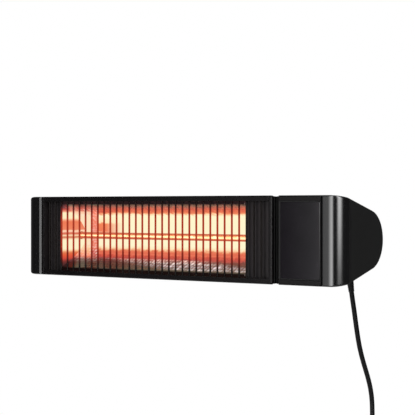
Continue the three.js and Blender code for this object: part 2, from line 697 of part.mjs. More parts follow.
function headPlate() {
  const plate = slab(HOUSING_WALL + FIT, 0, HEAD_PLATE);
  let cut = plate.subtract(rod('x', TUBE_RADIUS + FIT, -1, HEAD_PLATE + 1, [NOSE_DEPTH, 0], 32));
  const trayBack = TRAY_FRONT + TRAY_PLATE + FIT;
  cut = cut.subtract(box([-1, HEAD_PLATE + 1], [-1, trayBack], [-HEIGHT, HEIGHT]));
  for (const place of screwPlaces()) {
    cut = cut.subtract(rod('x', SCREW_PORT + FIT, -1, HEAD_PLATE + 1, place, 12));
  }
  return cut;
}

function headHousing() {
  const half = [SWITCH_LENGTH / 2 + FIT, SWITCH_WIDTH / 2 + FIT];
  const hole = box([-half[0], half[0]], [-half[1], half[1]], [-3 * HOUSING_WALL, HOUSING_WALL])
    .rotate([THREE.MathUtils.radToDeg(Math.PI + TAPER), 0, 0])
    .translate([HEAD_LENGTH / 2, SWITCH_DEPTH, -slantAt(SWITCH_DEPTH)]);
  return housing(0, HEAD_LENGTH).subtract(hole);
}

// The moulded tray behind the glass: a rim in the opening and a plate behind the lips.
function glassFrame() {
  const outer = OPENING_HALF - FIT;
  const flange = OPENING_HALF + TRAY_FLANGE;
  const back = TRAY_FRONT + TRAY_PLATE;
  const rim = box([FIT, HEAD_LENGTH - FIT], [TRAY_STEP, back], [-outer, outer]);
  const plate = box([FIT, HEAD_LENGTH - FIT], [HOUSING_WALL + FIT, back], [-flange, flange]);
  const glass = GLASS_HALF + FIT;
  const seat = box([GLASS_LEFT - FIT, GLASS_RIGHT + FIT], [-1, TRAY_FRONT], [-glass, glass]);
  const [width, height] = DISPLAY_SIZE;
  const window = box(
    [GLASS_MIDDLE - width / 2 - FIT, GLASS_MIDDLE + width / 2 + FIT],
    [0, back + 1],
    [DISPLAY_HEIGHT - height / 2 - FIT, DISPLAY_HEIGHT + height / 2 + FIT],
  );
  const eye = rod('y', RECEIVER_RADIUS + FIT, 0, back + 1, [GLASS_MIDDLE, RECEIVER_HEIGHT], 16);
  let tray = rim.add(plate).subtract(seat).subtract(window).subtract(eye);
  for (const [x, z] of standoffs()) {
    const foot = back - TRAY_PLATE / 2;
    tray = tray.add(rod('y', STANDOFF_RADIUS, foot, back + STANDOFF_LENGTH, [x, z], 12));
  }
  return tray;
}

function standoffs() {
  const x = (GLASS_RIGHT - GLASS_LEFT) / 2 - STANDOFF_INSET;
  const z = GLASS_HALF - STANDOFF_INSET;
  return [-1, 1].flatMap((a) => [-1, 1].map((b) => [GLASS_MIDDLE + a * x, b * z]));
}

function controlGlass() {
  const x = (GLASS_RIGHT - GLASS_LEFT) / 2 - GLASS_CORNER;
  const z = GLASS_HALF - GLASS_CORNER;
  const quarter = Math.PI / 2;
  const corners = [[x, z], [x, -z], [-x, -z], [-x, z]].flatMap(([cx, cz], i) =>
    arc(cx, cz, GLASS_CORNER, (1 - i) * quarter, -i * quarter, 3));
  const geometry = new THREE.ExtrudeGeometry(
    new THREE.Shape(corners),
    { depth: GLASS_THICKNESS, bevelEnabled: false },
  );
  return geometry.rotateX(Math.PI / 2).translate(0, GLASS_THICKNESS, 0);
}

// The printed board with its chips and plug-in headers on the back.
function controlBoard() {
  const width = GLASS_RIGHT - GLASS_LEFT - 2 * BOARD_MARGIN;
  const half = GLASS_HALF - BOARD_MARGIN;
  let board = box([-width / 2, width / 2], [0, BOARD_THICKNESS], [-half, half]);
  for (const [x, z] of standoffs()) {
    board = board.subtract(rod('y', BOARD_HOLE, -1, BOARD_THICKNESS + 1, [x - GLASS_MIDDLE, z], 10));
  }
  for (const [x, z, w, h, tall] of BOARD_PARTS) {
    const depth = [BOARD_THICKNESS / 2, BOARD_THICKNESS + tall];
    board = board.add(box([x - w / 2, x + w / 2], depth, [z - h / 2, z + h / 2]));
  }
  return board;
}

function terminalBlock() {
  const [length, depth, height] = TERMINAL_SIZE;
  let block = box([0, length], [0, depth], [0, height]);
  for (let i = 0; i < TERMINAL_POLES; i++) {
    const z = (height * (i + 0.5)) / TERMINAL_POLES;
    block = block.subtract(rod('y', TERMINAL_SCREW, -1, depth / 3, [length / 2, z], 12));
    block = block.subtract(rod('x', TERMINAL_BORE, length / 2, length + 1, [depth / 2, z], 10));
  }
  return block;
}

// ---------------------------------------------------------------------- rocker switch

// Both are drawn with z out of the housing's skin and x along the bar.
function switchBody() {
  const bezel = [SWITCH_LENGTH / 2 + SWITCH_BEZEL, SWITCH_WIDTH / 2 + SWITCH_BEZEL];
  const top = FIT + SWITCH_BEZEL_THICKNESS;
  const well = [ROCKER_LENGTH / 2 + ROCKER_SWING_ROOM, ROCKER_WIDTH / 2 + FIT];
  const block = (x, y, z, middle = 0) => box([middle - x, middle + x], [-y, y], z);
  const [thickness, width, length] = SWITCH_TAB;
  const tabHeights = [-SWITCH_BODY - length, 1 - SWITCH_BODY];
  const tabs = [-SWITCH_TAB_PLACE, SWITCH_TAB_PLACE].map((x) =>
    block(thickness / 2, width / 2, tabHeights, x));
  return block(...bezel, [FIT, top])
    .add(block(SWITCH_LENGTH / 2, SWITCH_WIDTH / 2, [-SWITCH_BODY, top - FIT]))
    .add(tabs[0])
    .add(tabs[1])
    .subtract(block(...well, [-SWITCH_WELL, top + 1]));
}

function rocker() {
  const half = ROCKER_LENGTH / 2;
  const dished = [-1, -0.5, 0, 0.5, 1].map((share) => {
    const height = ROCKER_DIP + (ROCKER_TOP - ROCKER_DIP) * share ** 2;
    return new THREE.Vector2(half * share, height);
  });
  const shape = new THREE.Shape([
    ...dished,
    new THREE.Vector2(half, -ROCKER_SIDE),
    new THREE.Vector2(ROCKER_FOOT_HALF, -ROCKER_FOOT),
    new THREE.Vector2(-ROCKER_FOOT_HALF, -ROCKER_FOOT),
    new THREE.Vector2(-half, -ROCKER_SIDE),
  ]);
  const geometry = new THREE.ExtrudeGeometry(shape, { depth: ROCKER_WIDTH, bevelEnabled: false });
  return geometry.rotateX(Math.PI / 2).translate(0, ROCKER_WIDTH / 2, 0);
}

// ---------------------------------------------------------------------- wall bracket

// One folded sheet: a plate with stiffening flanges, and an arm past the left cap.
// Here y = 0 is the wall, and the room is at negative y.
function wallBracket() {
  const half = PLATE_HEIGHT / 2;
  const pivotY = FRONT_Y + NOSE_DEPTH;
  const plate = box([ARM_LEFT, PLATE_RIGHT], [-PLATE_THICKNESS, 0], [-half, half]);
  const flangeEnds = [ARM_RIGHT + PLATE_FLANGE, PLATE_RIGHT];
  const flanges = [-1, 1].map((side) => {
    const edge = side * (half - PLATE_THICKNESS / 2);
    const across = [edge - PLATE_THICKNESS / 2, edge + PLATE_THICKNESS / 2];
    return box(flangeEnds, [-PLATE_FLANGE, 0], across);
  });
  const armOutline = [
    ...arc(pivotY, 0, ARM_RADIUS, Math.PI / 2, (3 * Math.PI) / 2, 14),
    new THREE.Vector2(0, -half),
    new THREE.Vector2(0, half),
  ];
  let bracket = plate.add(flanges[0]).add(flanges[1])
    .add(alongBar(armOutline, ARM_LEFT, ARM_RIGHT))
    .subtract(rod('x', PIN_RADIUS + FIT, ARM_LEFT - 1, ARM_RIGHT + 1, [pivotY, 0], 32));
  for (const x of SLOT_PLACES) {
    for (const side of [-1, 1]) {
      const end = x + side * (SLOT_LENGTH / 2 - SLOT_RADIUS);
      bracket = bracket.subtract(rod('y', SLOT_RADIUS, -PLATE_THICKNESS - 1, 1, [end, 0], 12));
    }
    const reach = SLOT_LENGTH / 2 - SLOT_RADIUS;
    bracket = bracket.subtract(
      box([x - reach, x + reach], [-PLATE_THICKNESS - 1, 1], [-SLOT_RADIUS, SLOT_RADIUS]),
    );
  }
  return bracket;
}

// The moulded saddle between the plate and the head's nose, with a hollow in each side.
function headSaddle() {
  const seat = DEPTH + WALL_GAP - PLATE_THICKNESS - FIT;
  const innerHalf = PLATE_HEIGHT / 2 - PLATE_THICKNESS - FIT;
  const noseReach = NOSE_RADIUS + FIT;
  const start = NOSE_DEPTH + Math.sqrt(noseReach ** 2 - SADDLE_HALF_HEIGHT ** 2);
  const flangeTop = DEPTH + WALL_GAP - PLATE_FLANGE - FIT;
  const tall = [-SADDLE_HALF_HEIGHT, SADDLE_HALF_HEIGHT];
  const block = box([0, SADDLE_LENGTH], [start, flangeTop], tall)
    .add(box([0, SADDLE_LENGTH], [flangeTop - 1, seat], [-innerHalf, innerHalf]));
  const hollowDepth = [DEPTH + SADDLE_WALL, seat - SADDLE_WALL];
  const hollowHeight = [SADDLE_WALL - innerHalf, innerHalf - SADDLE_WALL];
  const hollow = (from, to) => box([from, to], hollowDepth, hollowHeight);
  return block
    .subtract(rod('x', noseReach, -1, SADDLE_LENGTH + 1, [NOSE_DEPTH, 0], 96))
    .subtract(hollow(-1, (SADDLE_LENGTH - SADDLE_WALL) / 2))
    .subtract(hollow((SADDLE_LENGTH + SADDLE_WALL) / 2, SADDLE_LENGTH + 1));
}

// The pivot screw with its lobed hand grip; x = 0 on the arm's outer face.
function tiltScrew() {
  const ends = [-KNOB_LENGTH - FIT, -FIT];
  const lobeReach = KNOB_RADIUS - KNOB_LOBE_RADIUS;
  let knob = rod('x', lobeReach + KNOB_LOBE_RADIUS / 3, ...ends, [0, 0], 24);
  for (let i = 0; i < KNOB_LOBES; i++) {
    const angle = (i * 2 * Math.PI) / KNOB_LOBES;
    const place = [lobeReach * Math.cos(angle), lobeReach * Math.sin(angle)];
    knob = knob.add(rod('x', KNOB_LOBE_RADIUS, ...ends, place, 12));
  }
  const pinEnd = ARM_THICKNESS + ARM_WASHER + PIN_LENGTH;
  return knob.add(rod('x', PIN_RADIUS, -FIT - 1, pinEnd, [0, 0], 32));
}

// ------------------------------------------------------------------------ mains lead

const EXIT = new THREE.Vector3(RIGHT - CORD_INSET, FRONT_Y + CORD_DEPTH, -slantAt(CORD_DEPTH));
const OUT = new THREE.Vector3(0, Math.sin(TAPER), -Math.cos(TAPER)); // square to the underside
const COIL_TOP_RADIUS = COIL_BOTTOM_RADIUS + COIL_PITCH * SPIRAL_TURNS;
const HANG_Y = FRONT_Y + HANG_DEPTH;

// The lead from its strain relief to the coil: out of the underside, back towards the
// wall in one slack bend, then straight down. Points are (depth, height).
const HANGING_POINTS = [
  [61.0, -88.0], [65.2, -102.0], [69.2, -116.5], [73.4, -131.0], [78.2, -146.0],
  [84.2, -160.8], [92.0, -176.0], [101.0, -191.3], [109.6, -206.4], [116.4, -221.8],
  [120.3, -237.2], [121.6, -252.8], [HANG_DEPTH, -270.0], [HANG_DEPTH, -290.0],
];

function hangingRoute() {
  const start = EXIT.clone().addScaledVector(OUT, RELIEF_LENGTH + FIT);
  const points = HANGING_POINTS.map(([depth, z]) => new THREE.Vector3(EXIT.x, FRONT_Y + depth, z));
  const end = new THREE.Vector3(EXIT.x, HANG_Y, COIL_HEIGHT + CORD + FIT);
  return new THREE.CatmullRomCurve3([start, ...points, end], false, 'centripetal');
}

// The coil's centre line: each layer spirals in or out, and the lead climbs to the next
// layer in the half turn where the spiral reverses.
function coilRoute() {
  const layerTurns = SPIRAL_TURNS + CLIMB_TURNS;
  const turns = COIL_LAYERS * layerTurns - CLIMB_TURNS;
  const centre = new THREE.Vector3(EXIT.x - COIL_TOP_RADIUS, HANG_Y, COIL_HEIGHT);
  const points = [new THREE.Vector3(EXIT.x, HANG_Y, COIL_HEIGHT + CORD)];
  const steps = Math.round(turns * STEPS_PER_TURN);
  for (let i = 0; i <= steps; i++) {
    const turn = (turns * i) / steps;
    const layer = Math.min(Math.floor(turn / layerTurns), COIL_LAYERS - 1);
    const inLayer = turn - layer * layerTurns;
    const spiralled = Math.min(inLayer, SPIRAL_TURNS) * COIL_PITCH;
    const climbed = Math.max(inLayer - SPIRAL_TURNS, 0) / CLIMB_TURNS;
    const inwards = layer % 2 === 0;
    const radius = inwards ? COIL_TOP_RADIUS - spiralled : COIL_BOTTOM_RADIUS + spiralled;
    const angle = -2 * Math.PI * turn;
    points.push(new THREE.Vector3(
      centre.x + radius * Math.cos(angle),
      centre.y - COIL_PITCH * (layer + climbed),
      centre.z + radius * Math.sin(angle),
    ));
  }
  const last = points[points.length - 1];
  points.push(new THREE.Vector3(last.x, last.y, last.z - TAIL / 2));
  points.push(new THREE.Vector3(last.x, last.y, last.z - TAIL));
  return new THREE.CatmullRomCurve3(points, false, 'centripetal');
}

function sweep(route, radius, sides, steps) {
  const section = new THREE.Shape(arc(0, 0, radius, 0, 2 * Math.PI, sides).slice(0, sides));
  return new THREE.ExtrudeGeometry(section, { steps, extrudePath: route, bevelEnabled: false });
}

// The least distance between the surfaces of two stretches of one lead.
function leastGap(route, diameter) {
  const length = route.getLength();
  const points = route.getSpacedPoints(Math.round(length));
  const apart = Math.round(3 * diameter);
  let least = Infinity;
  for (let i = 0; i < points.length; i++) {
    for (let j = i + apart; j < points.length; j++) {
      least = Math.min(least, points[i].distanceTo(points[j]));
    }
  }
  return least - diameter;
}

function lathe(profile, segments) {
  const points = profile.map(([radius, z]) => new THREE.Vector2(radius, z));
  return new THREE.LatheGeometry(points, segments).rotateX(Math.PI / 2);
}

// The tapered strain relief, z out of the housing.
function cableGland() {
  return lathe([
    [0, -GLAND_SHANK],
    [RELIEF_TOP, -GLAND_SHANK],
    [RELIEF_TOP, RELIEF_STRAIGHT],
    [RELIEF_END, RELIEF_LENGTH],
    [0, RELIEF_LENGTH],
  ], 20);
}

function glandNut() {
  const top = -CAP_WALL - FIT;
  const bottom = top - GLAND_NUT_LENGTH;
  return rod('z', GLAND_NUT_RADIUS, bottom, top, [0, 0], 6)
    .subtract(rod('z', RELIEF_TOP + FIT, bottom - 1, top + 1, [0, 0], 20));
}

// A band round the coil's bundle of turns, where the lead comes in and leaves.
function cordTie() {
  const reach = CORD / 2 + TIE_CLEARANCE;
  const inner = [
    [COIL_BOTTOM_RADIUS - reach, COIL_TOP_RADIUS + reach],
    [-(COIL_LAYERS - 1) * COIL_PITCH - reach, reach],
  ];
  const outer = inner.map(([low, high]) => [low - TIE_THICKNESS, high + TIE_THICKNESS]);
  return box(...outer, [-TIE_WIDTH / 2, TIE_WIDTH / 2])
    .subtract(box(...inner, [-TIE_WIDTH, TIE_WIDTH]));
}

// A round moulded mains plug, z along the lead towards the pins.
function plugBody() {
  const neck = CORD / 2 + 1;
  const shoulder = PLUG_RELIEF + 5;
  const face = PLUG_RELIEF + PLUG_LENGTH;
  const body = solid(lathe([
    [0, 0],
    [neck, 0],
    [neck + 2, PLUG_RELIEF],
    [PLUG_RADIUS * 0.62, shoulder],
    [PLUG_RADIUS * 0.74, shoulder + 6],
    [PLUG_RADIUS * 0.7, shoulder + 13],
    [PLUG_RADIUS, shoulder + 18],
    [PLUG_RADIUS, face - 1],
    [PLUG_RADIUS - 1, face],
    [0, face],
  ], 28));
  const keyways = [-1, 1].map((side) =>
    rod('z', PLUG_GROOVE, face - PLUG_GROOVE_LENGTH, face + 1, [0, side * (PLUG_RADIUS + 1)], 12));
  return body.subtract(keyways[0]).subtract(keyways[1]);
}

function plugPin() {
  return lathe([
    [0, 0],
    [PLUG_PIN_RADIUS, 0],
    [PLUG_PIN_RADIUS, PLUG_PIN_LENGTH - 1.5],
    [PLUG_PIN_RADIUS - 1, PLUG_PIN_LENGTH],
    [0, PLUG_PIN_LENGTH],
  ], 12);
}

// -------------------------------------------------------------------------- assembly

function at(mesh, x, y = 0, z = 0) {
  mesh.position.set(x, y, z);
  return mesh;
}

// Turns a piece drawn with x rising to the right so that x rises to the left.
function mirrored(mesh, x, y = 0, z = 0) {
  mesh.scale.x = -1;
  return at(mesh, x, y, z);
}

// A group whose z points square out of the bar's slanting underside.
function onUnderside(x, depth) {
  const group = new THREE.Group();
  group.position.set(x, depth, -slantAt(depth));
  group.rotation.x = Math.PI + TAPER;
  return group;
}

function lampSection() {
  const group = new THREE.Group();
  const housingEnds = [LAMP_LEFT + STILE + FIT, LAMP_RIGHT - STILE - FIT];
  const leftCover = endCover(MOUTH_LEFT - FIT - housingEnds[0]);
  const rightCover = endCover(housingEnds[1] - (MOUTH_RIGHT + FIT));
  const lampHalf = MOUTH_LENGTH / 2 + LAMP_PAST_MOUTH;
  const wallOut = MOUTH_LENGTH / 2 + FIT;
  const holderOut = wallOut + SHEET + FIT;
  const sides = [['left', -1, mirrored], ['right', 1, at]];
  group.add(
    piece('lamp_housing', housing(...housingEnds), blackPaint),
    at(piece('left_end_cap', leftCap(), blackGloss), LEFT),
    at(piece('lamp_frame_left', endFrame(0), blackPaint), LAMP_LEFT),
    mirrored(piece('lamp_frame_right', endFrame(TUBE_RADIUS + RUN), blackPaint), LAMP_RIGHT),
    piece('reflector', reflector(), polishedAluminium),
    at(piece('lamp_tube', lampTube(lampHalf), quartz), MOUTH_MIDDLE, LAMP_DEPTH),
    at(piece('lamp_filament', filament(lampHalf), tungsten), MOUTH_MIDDLE, LAMP_DEPTH),
    at(piece('joint_ring_lamp', lampRing(), blackPlastic), LAMP_RIGHT),
    at(piece('end_cover_left', leftCover, blackPaint), housingEnds[0]),
    mirrored(piece('end_cover_right', rightCover, blackPaint), housingEnds[1]),
    at(
      piece('thermal_cutout', thermalCutout(), blackPlastic),
      MOUTH_MIDDLE + holderOut, CUTOUT_DEPTH, CUTOUT_HEIGHT,
    ),
    at(
      piece('left_pivot_bush', leftBush(), paleNylon),
      LEFT + CAP_WALL + FIT, NOSE_DEPTH,
    ),
  );
  for (let panel = 0; panel < GUARD_PANELS; panel++) {
    group.add(piece(`guard_${panel + 1}`, guardPanel(panel), steelWire));
  }
  for (const [side, sign, place] of sides) {
    group.add(
      place(
        piece(`reflector_end_${side}`, reflectorEnd(), polishedAluminium),
        MOUTH_MIDDLE + sign * wallOut,
      ),
      place(
        piece(`lamp_base_${side}`, lampBase(), ceramic),
        MOUTH_MIDDLE + sign * (lampHalf + FIT), LAMP_DEPTH,
      ),
      place(
        piece(`lamp_holder_${side}`, lampHolder(), ceramic),
        MOUTH_MIDDLE + sign * holderOut, LAMP_DEPTH,
      ),
    );
  }
  return group;
}

// The plain bush in the left cap's hub.
function leftBush() {
  const outer = PIN_RADIUS + RUN + BUSH_WALL;
  const length = PIN_LENGTH - PIN_PAST_HUB - CAP_WALL - FIT;
  return tube('x', outer, PIN_RADIUS + RUN, 0, length, [0, 0], 32);
}

function controlHead() {
  const group = new THREE.Group();
  group.position.x = HEAD_LEFT;
  const [relayWidth, relayDepth, relayHeight] = RELAY_SIZE;
  group.add(
    piece('head_housing', headHousing(), blackPaint),
    piece('head_end_plate', headPlate(), zincSteel),
    piece('glass_frame', glassFrame(), blackPlastic),
    at(piece('control_glass', controlGlass(), smokedGlass), GLASS_MIDDLE, GLASS_RECESS),
    at(piece('control_board', controlBoard(), boardGreen), GLASS_MIDDLE, BOARD_FRONT),
    at(piece('terminal_block', terminalBlock(), paleNylon), HEAD_PLATE + FIT, ...TERMINAL_PLACE),
  );
  const [width, height] = DISPLAY_SIZE;
  const ends = [TRAY_FRONT, BOARD_FRONT - FIT];
  const screen = box([-width / 2, width / 2], ends, [-height / 2, height / 2]);
  const eye = rod('y', RECEIVER_RADIUS, ...ends, [0, 0], 16);
  group.add(
    at(piece('display', screen, blackGloss), GLASS_MIDDLE, 0, DISPLAY_HEIGHT),
    at(piece('infrared_receiver', eye, blackGloss), GLASS_MIDDLE, 0, RECEIVER_HEIGHT),
  );
  for (const [name, order] of [['power_relay_lower', -1], ['power_relay_upper', 0]]) {
    const z = RELAY_BOTTOM + order * (relayHeight + RELAY_GAP);
    const relay = box([0, relayWidth], [0, relayDepth], [0, relayHeight]);
    const x = GLASS_LEFT + BOARD_MARGIN + RELAY_INSET;
    group.add(at(piece(name, relay, relayBlue), x, BOARD_BACK + FIT, z));
  }
  return group;
}

function pivot() {
  const group = new THREE.Group();
  group.add(
    at(piece('joint_ring_head', headRing(), blackPlastic), LAMP_RIGHT),
    piece('pivot_tube', pivotTube(), zincSteel),
    piece('pivot_nut', pivotNut(), zincSteel),
    piece('friction_washer', frictionWasher(), zincSteel),
  );
  return group;
}

function mainsSwitch() {
  const group = onUnderside(HEAD_LEFT + HEAD_LENGTH / 2, SWITCH_DEPTH);
  const lever = at(piece('switch_rocker', rocker(), blackGloss), 0, 0, ROCKER_PIVOT);
  lever.rotation.y = ROCKER_TILT;
  group.add(piece('switch_body', switchBody(), blackPlastic), lever);
  return group;
}

function wallFixing() {
  const group = new THREE.Group();
  const washerHole = PIN_RADIUS + FIT;
  const pinPlace = [NOSE_DEPTH, 0];
  group.add(
    at(piece('wall_bracket', wallBracket(), bracketPaint), 0, -FRONT_Y),
    at(piece('head_saddle', headSaddle(), blackPlastic), PLATE_RIGHT - SADDLE_LENGTH),
    at(piece('tilt_screw', tiltScrew(), blackPlastic), ARM_LEFT, NOSE_DEPTH),
    piece(
      'arm_washer',
      tube('x', HUB_RADIUS, washerHole, ARM_RIGHT + FIT, LEFT - FIT, pinPlace, 32),
      paleNylon,
    ),
  );
  return group;
}

function gland() {
  const group = onUnderside(EXIT.x, CORD_DEPTH);
  group.add(piece('cable_gland', cableGland(), rubber), piece('gland_nut', glandNut(), plugPlastic));
  return group;
}

function mainsLead() {
  const group = new THREE.Group();
  const hanging = hangingRoute();
  const coil = coilRoute();
  const coilSteps = Math.round(coil.getLength() / (2 * Math.PI * COIL_TOP_RADIUS) * STEPS_PER_TURN);
  const coilTube = sweep(coil, CORD / 2, COIL_SIDES, coilSteps);
  const end = coil.getPoint(1);
  group.add(
    piece('cord_free', sweep(hanging, CORD / 2, 10, 26), rubber),
    piece('cord_coil', coilTube, rubber),
    at(piece('cord_tie', cordTie(), paleNylon), EXIT.x - COIL_TOP_RADIUS, HANG_Y, COIL_HEIGHT),
  );
  const plug = new THREE.Group();
  plug.position.set(end.x, end.y, end.z - FIT);
  plug.rotation.x = Math.PI;
  plug.add(piece('plug_body', plugBody(), plugPlastic));
  for (const [name, side] of [['plug_pin_left', -1], ['plug_pin_right', 1]]) {
    const pin = piece(name, plugPin(), nickel);
    plug.add(at(pin, (side * PIN_SPACING) / 2, 0, PLUG_RELIEF + PLUG_LENGTH + FIT));
  }
  group.add(plug);
  const length = hanging.getLength() + coil.getLength();
  console.log(`mains lead: ${length.toFixed(0)} mm, coil gap ${leastGap(coil, CORD).toFixed(2)} mm`);
  return group;
}

const bar = new THREE.Group();
bar.position.y = FRONT_Y;
bar.add(lampSection(), controlHead(), pivot(), mainsSwitch(), wallFixing(), gland());
bar.add(mirrored(piece('right_end_cap', rightCap(), blackGloss), RIGHT));

const heater = new THREE.Group();
heater.name = 'bar_heater';
heater.add(bar, mainsLead());

export default heater;
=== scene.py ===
# %% [markdown]
# # An infrared bar heater, dressed for the eye
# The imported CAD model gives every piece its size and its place. This notebook puts a
# finely shaped and finished piece over each one that shows. All sizes are written in
# millimetres, as on the drawing, and turned into metres only when a mesh is made.

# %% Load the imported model
import math

import bmesh
import bpy
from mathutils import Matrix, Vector


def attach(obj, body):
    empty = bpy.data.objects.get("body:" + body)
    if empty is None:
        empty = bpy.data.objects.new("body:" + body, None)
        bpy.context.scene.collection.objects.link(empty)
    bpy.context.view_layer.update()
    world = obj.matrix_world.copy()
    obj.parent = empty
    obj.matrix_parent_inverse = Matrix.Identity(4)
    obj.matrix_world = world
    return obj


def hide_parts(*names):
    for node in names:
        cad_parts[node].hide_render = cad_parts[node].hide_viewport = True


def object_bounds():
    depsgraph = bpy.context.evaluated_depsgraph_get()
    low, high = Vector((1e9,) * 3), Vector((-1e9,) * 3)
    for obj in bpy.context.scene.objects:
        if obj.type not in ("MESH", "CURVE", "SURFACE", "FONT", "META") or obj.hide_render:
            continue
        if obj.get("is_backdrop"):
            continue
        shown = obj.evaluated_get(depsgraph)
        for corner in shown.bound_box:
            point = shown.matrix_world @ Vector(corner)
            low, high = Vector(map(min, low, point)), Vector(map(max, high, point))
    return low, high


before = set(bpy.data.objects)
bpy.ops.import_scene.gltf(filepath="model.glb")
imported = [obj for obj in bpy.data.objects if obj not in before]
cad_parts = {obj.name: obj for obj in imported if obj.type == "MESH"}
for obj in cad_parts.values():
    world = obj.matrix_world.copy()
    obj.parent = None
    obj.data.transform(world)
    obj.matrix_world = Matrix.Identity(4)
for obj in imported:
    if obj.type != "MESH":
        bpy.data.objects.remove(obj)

cad_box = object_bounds()
print("CAD box, m:", [tuple(round(v, 4) for v in corner) for corner in cad_box])

# %% [markdown]
# ## Sizes
# The bar has one cross-section from end to end: a tall front face, two straight slants
# that come together backwards, and a round nose. Depth is measured back from the front
# face, height from the middle of the bar and x along it.

# %% The bar's sizes
MM = 0.001
HEIGHT, DEPTH, NOSE_RADIUS, EDGE_ROUND = 130, 122, 44, 2.5
WALL, FIT, LIP_HEIGHT = 2, 0.3, 8.7
FRONT_Y = -157
NOSE_DEPTH = DEPTH - NOSE_RADIUS
TAPER = math.atan2(HEIGHT / 2, NOSE_DEPTH) - math.asin(
    NOSE_RADIUS / math.hypot(NOSE_DEPTH, HEIGHT / 2)
)
OPENING_HALF = HEIGHT / 2 - LIP_HEIGHT
LEFT, RIGHT = -301.5, 301.5
LAMP_LEFT, LAMP_RIGHT, STILE = -265, 185, 6
SHELL_LEFT, SHELL_RIGHT = LAMP_LEFT + STILE + FIT, LAMP_RIGHT - STILE - FIT
HEAD_LEFT, HEAD_RIGHT = 195.5, 265
MOUTH_LEFT, MOUTH_RIGHT, MOUTH_HALF, MOUTH_DEPTH = -230, 132.4, 52, 11.5
MOUTH_MIDDLE = (MOUTH_LEFT + MOUTH_RIGHT) / 2
TROUGH_DEPTH = 62
APEX_DEPTH = MOUTH_DEPTH + TROUGH_DEPTH
LAMP_DEPTH = APEX_DEPTH - MOUTH_HALF**2 / (4 * TROUGH_DEPTH)  # the parabola's focus
print(f"taper {math.degrees(TAPER):.2f} degrees, lamp {LAMP_DEPTH:.1f} mm deep")


def spot(x, depth, height):
    """A point of the bar as a vector in millimetres."""
    return Vector((x, FRONT_Y + depth, height))


def slant_at(depth, inset=0.0):
    """The upper slant's height at a depth, moved in by inset."""
    return HEIGHT / 2 - depth * math.tan(TAPER) - inset / math.cos(TAPER)


# %% [markdown]
# ## The camera
# The photograph is taken from the bar's right, 35 degrees round from square on, with a
# long lens and a level camera. These numbers were fitted to the photograph's edges.


# %% Camera
def placed(name, data):
    """A new object in the scene."""
    thing = bpy.data.objects.new(name, data)
    bpy.context.collection.objects.link(thing)
    return thing


camera_data = bpy.data.cameras.new("Camera")
camera_data.sensor_width = 36
camera_data.lens = 103.35
camera_data.shift_y = -0.0028
camera = placed("Camera", camera_data)
camera.location = (1.0931, -1.6157, 0.0485)
camera.rotation_euler = (math.radians(90), 0, math.radians(35))
bpy.context.scene.camera = camera
print("camera at", tuple(camera.location))

# %% [markdown]
# ## Small tools for materials
# A material in Blender is a tree of nodes. One function adds a node, another fills a
# node's inputs, and a third turns a colour as it looks on a screen (sRGB) into the linear
# light that the shaders count in. Every pattern is placed by the object's own
# coordinates, so its scale can be worked out from a real size.


# %% Colours and nodes
def linear(color):
    """An sRGB hex colour as linear red, green, blue and alpha."""
    parts = [int(color[i : i + 2], 16) / 255 for i in (1, 3, 5)]
    return (
        *(c / 12.92 if c <= 0.04045 else ((c + 0.055) / 1.055) ** 2.4 for c in parts), 1
    )


def feed(target, inputs):
    """Fill a node's inputs: link a node or an output, write in a hex colour or a value."""
    for name, value in inputs.items():
        if isinstance(value, bpy.types.Node):
            value = next(output for output in value.outputs if output.enabled)
        if isinstance(value, bpy.types.NodeSocket):
            target.id_data.links.new(value, target.inputs[name])
        else:
            value = linear(value) if isinstance(value, str) else value
            target.inputs[name].default_value = value


def node(tree, kind, inputs=None, stops=None, **settings):
    """Add a node with its settings, its colour stops and its inputs."""
    made = tree.nodes.new("ShaderNode" + kind)
    for name, value in settings.items():
        setattr(made, name, value)
    if stops:
        ramp = made.color_ramp
        while len(ramp.elements) < len(stops):
            ramp.elements.new(0.5)
        for element, (place, color) in zip(ramp.elements, stops):
            element.position = place
            element.color = linear(color) if isinstance(color, str) else (color,) * 3 + (1,)
    feed(made, inputs or {})
    return made


# %% Materials and patterns
def empty_tree(holder):
    """A material's or world's node tree, cleared."""
    holder.use_nodes = True
    holder.node_tree.nodes.clear()
    return holder.node_tree


def new_material(name, color, roughness, **values):
    """A material with one Principled shader: the material, its tree, the shader and the
    object's own coordinates."""
    material = bpy.data.materials.new(name)
    tree = empty_tree(material)
    inputs = {"Base Color": color, "Roughness": roughness}
    inputs.update({key.replace("_", " "): value for key, value in values.items()})
    shader = node(tree, "BsdfPrincipled", inputs)
    node(tree, "OutputMaterial", {"Surface": shader})
    return material, tree, shader, node(tree, "TexCoord").outputs["Object"]


def per_mm(size):
    """The scale that repeats a pattern every so many millimetres."""
    return 1 / (size * MM)


def mottled(name, finish, cloud, tint, wear, grain):
    """A material with a slow mottle in its tone and gloss and a fine grain in relief."""
    color, roughness, level, grain_size, rise = finish
    material, tree, shader, place = new_material(
        name, color, roughness, IOR=1.5, Specular_IOR_Level=level
    )
    mottle = node(
        tree, "TexNoise", {"Vector": place, "Scale": per_mm(cloud[0]), "Detail": cloud[1]}
    )
    tone = node(
        tree, "Mix", {0: tint[0], 6: color, 7: mottle.outputs["Color"]},
        data_type="RGBA", blend_type=tint[1],
    )
    gloss = node(
        tree, "MapRange",
        {"Value": mottle, "To Min": roughness + wear[0], "To Max": roughness + wear[1]},
    )
    bumps = node(
        tree, "TexNoise", {"Vector": place, "Scale": per_mm(grain_size), "Detail": grain[0]}
    )
    relief = node(
        tree, "Bump", {"Height": bumps, "Distance": rise * MM, "Strength": grain[1]}
    )
    feed(shader, {"Base Color": tone, "Roughness": gloss, "Normal": relief})
    return material


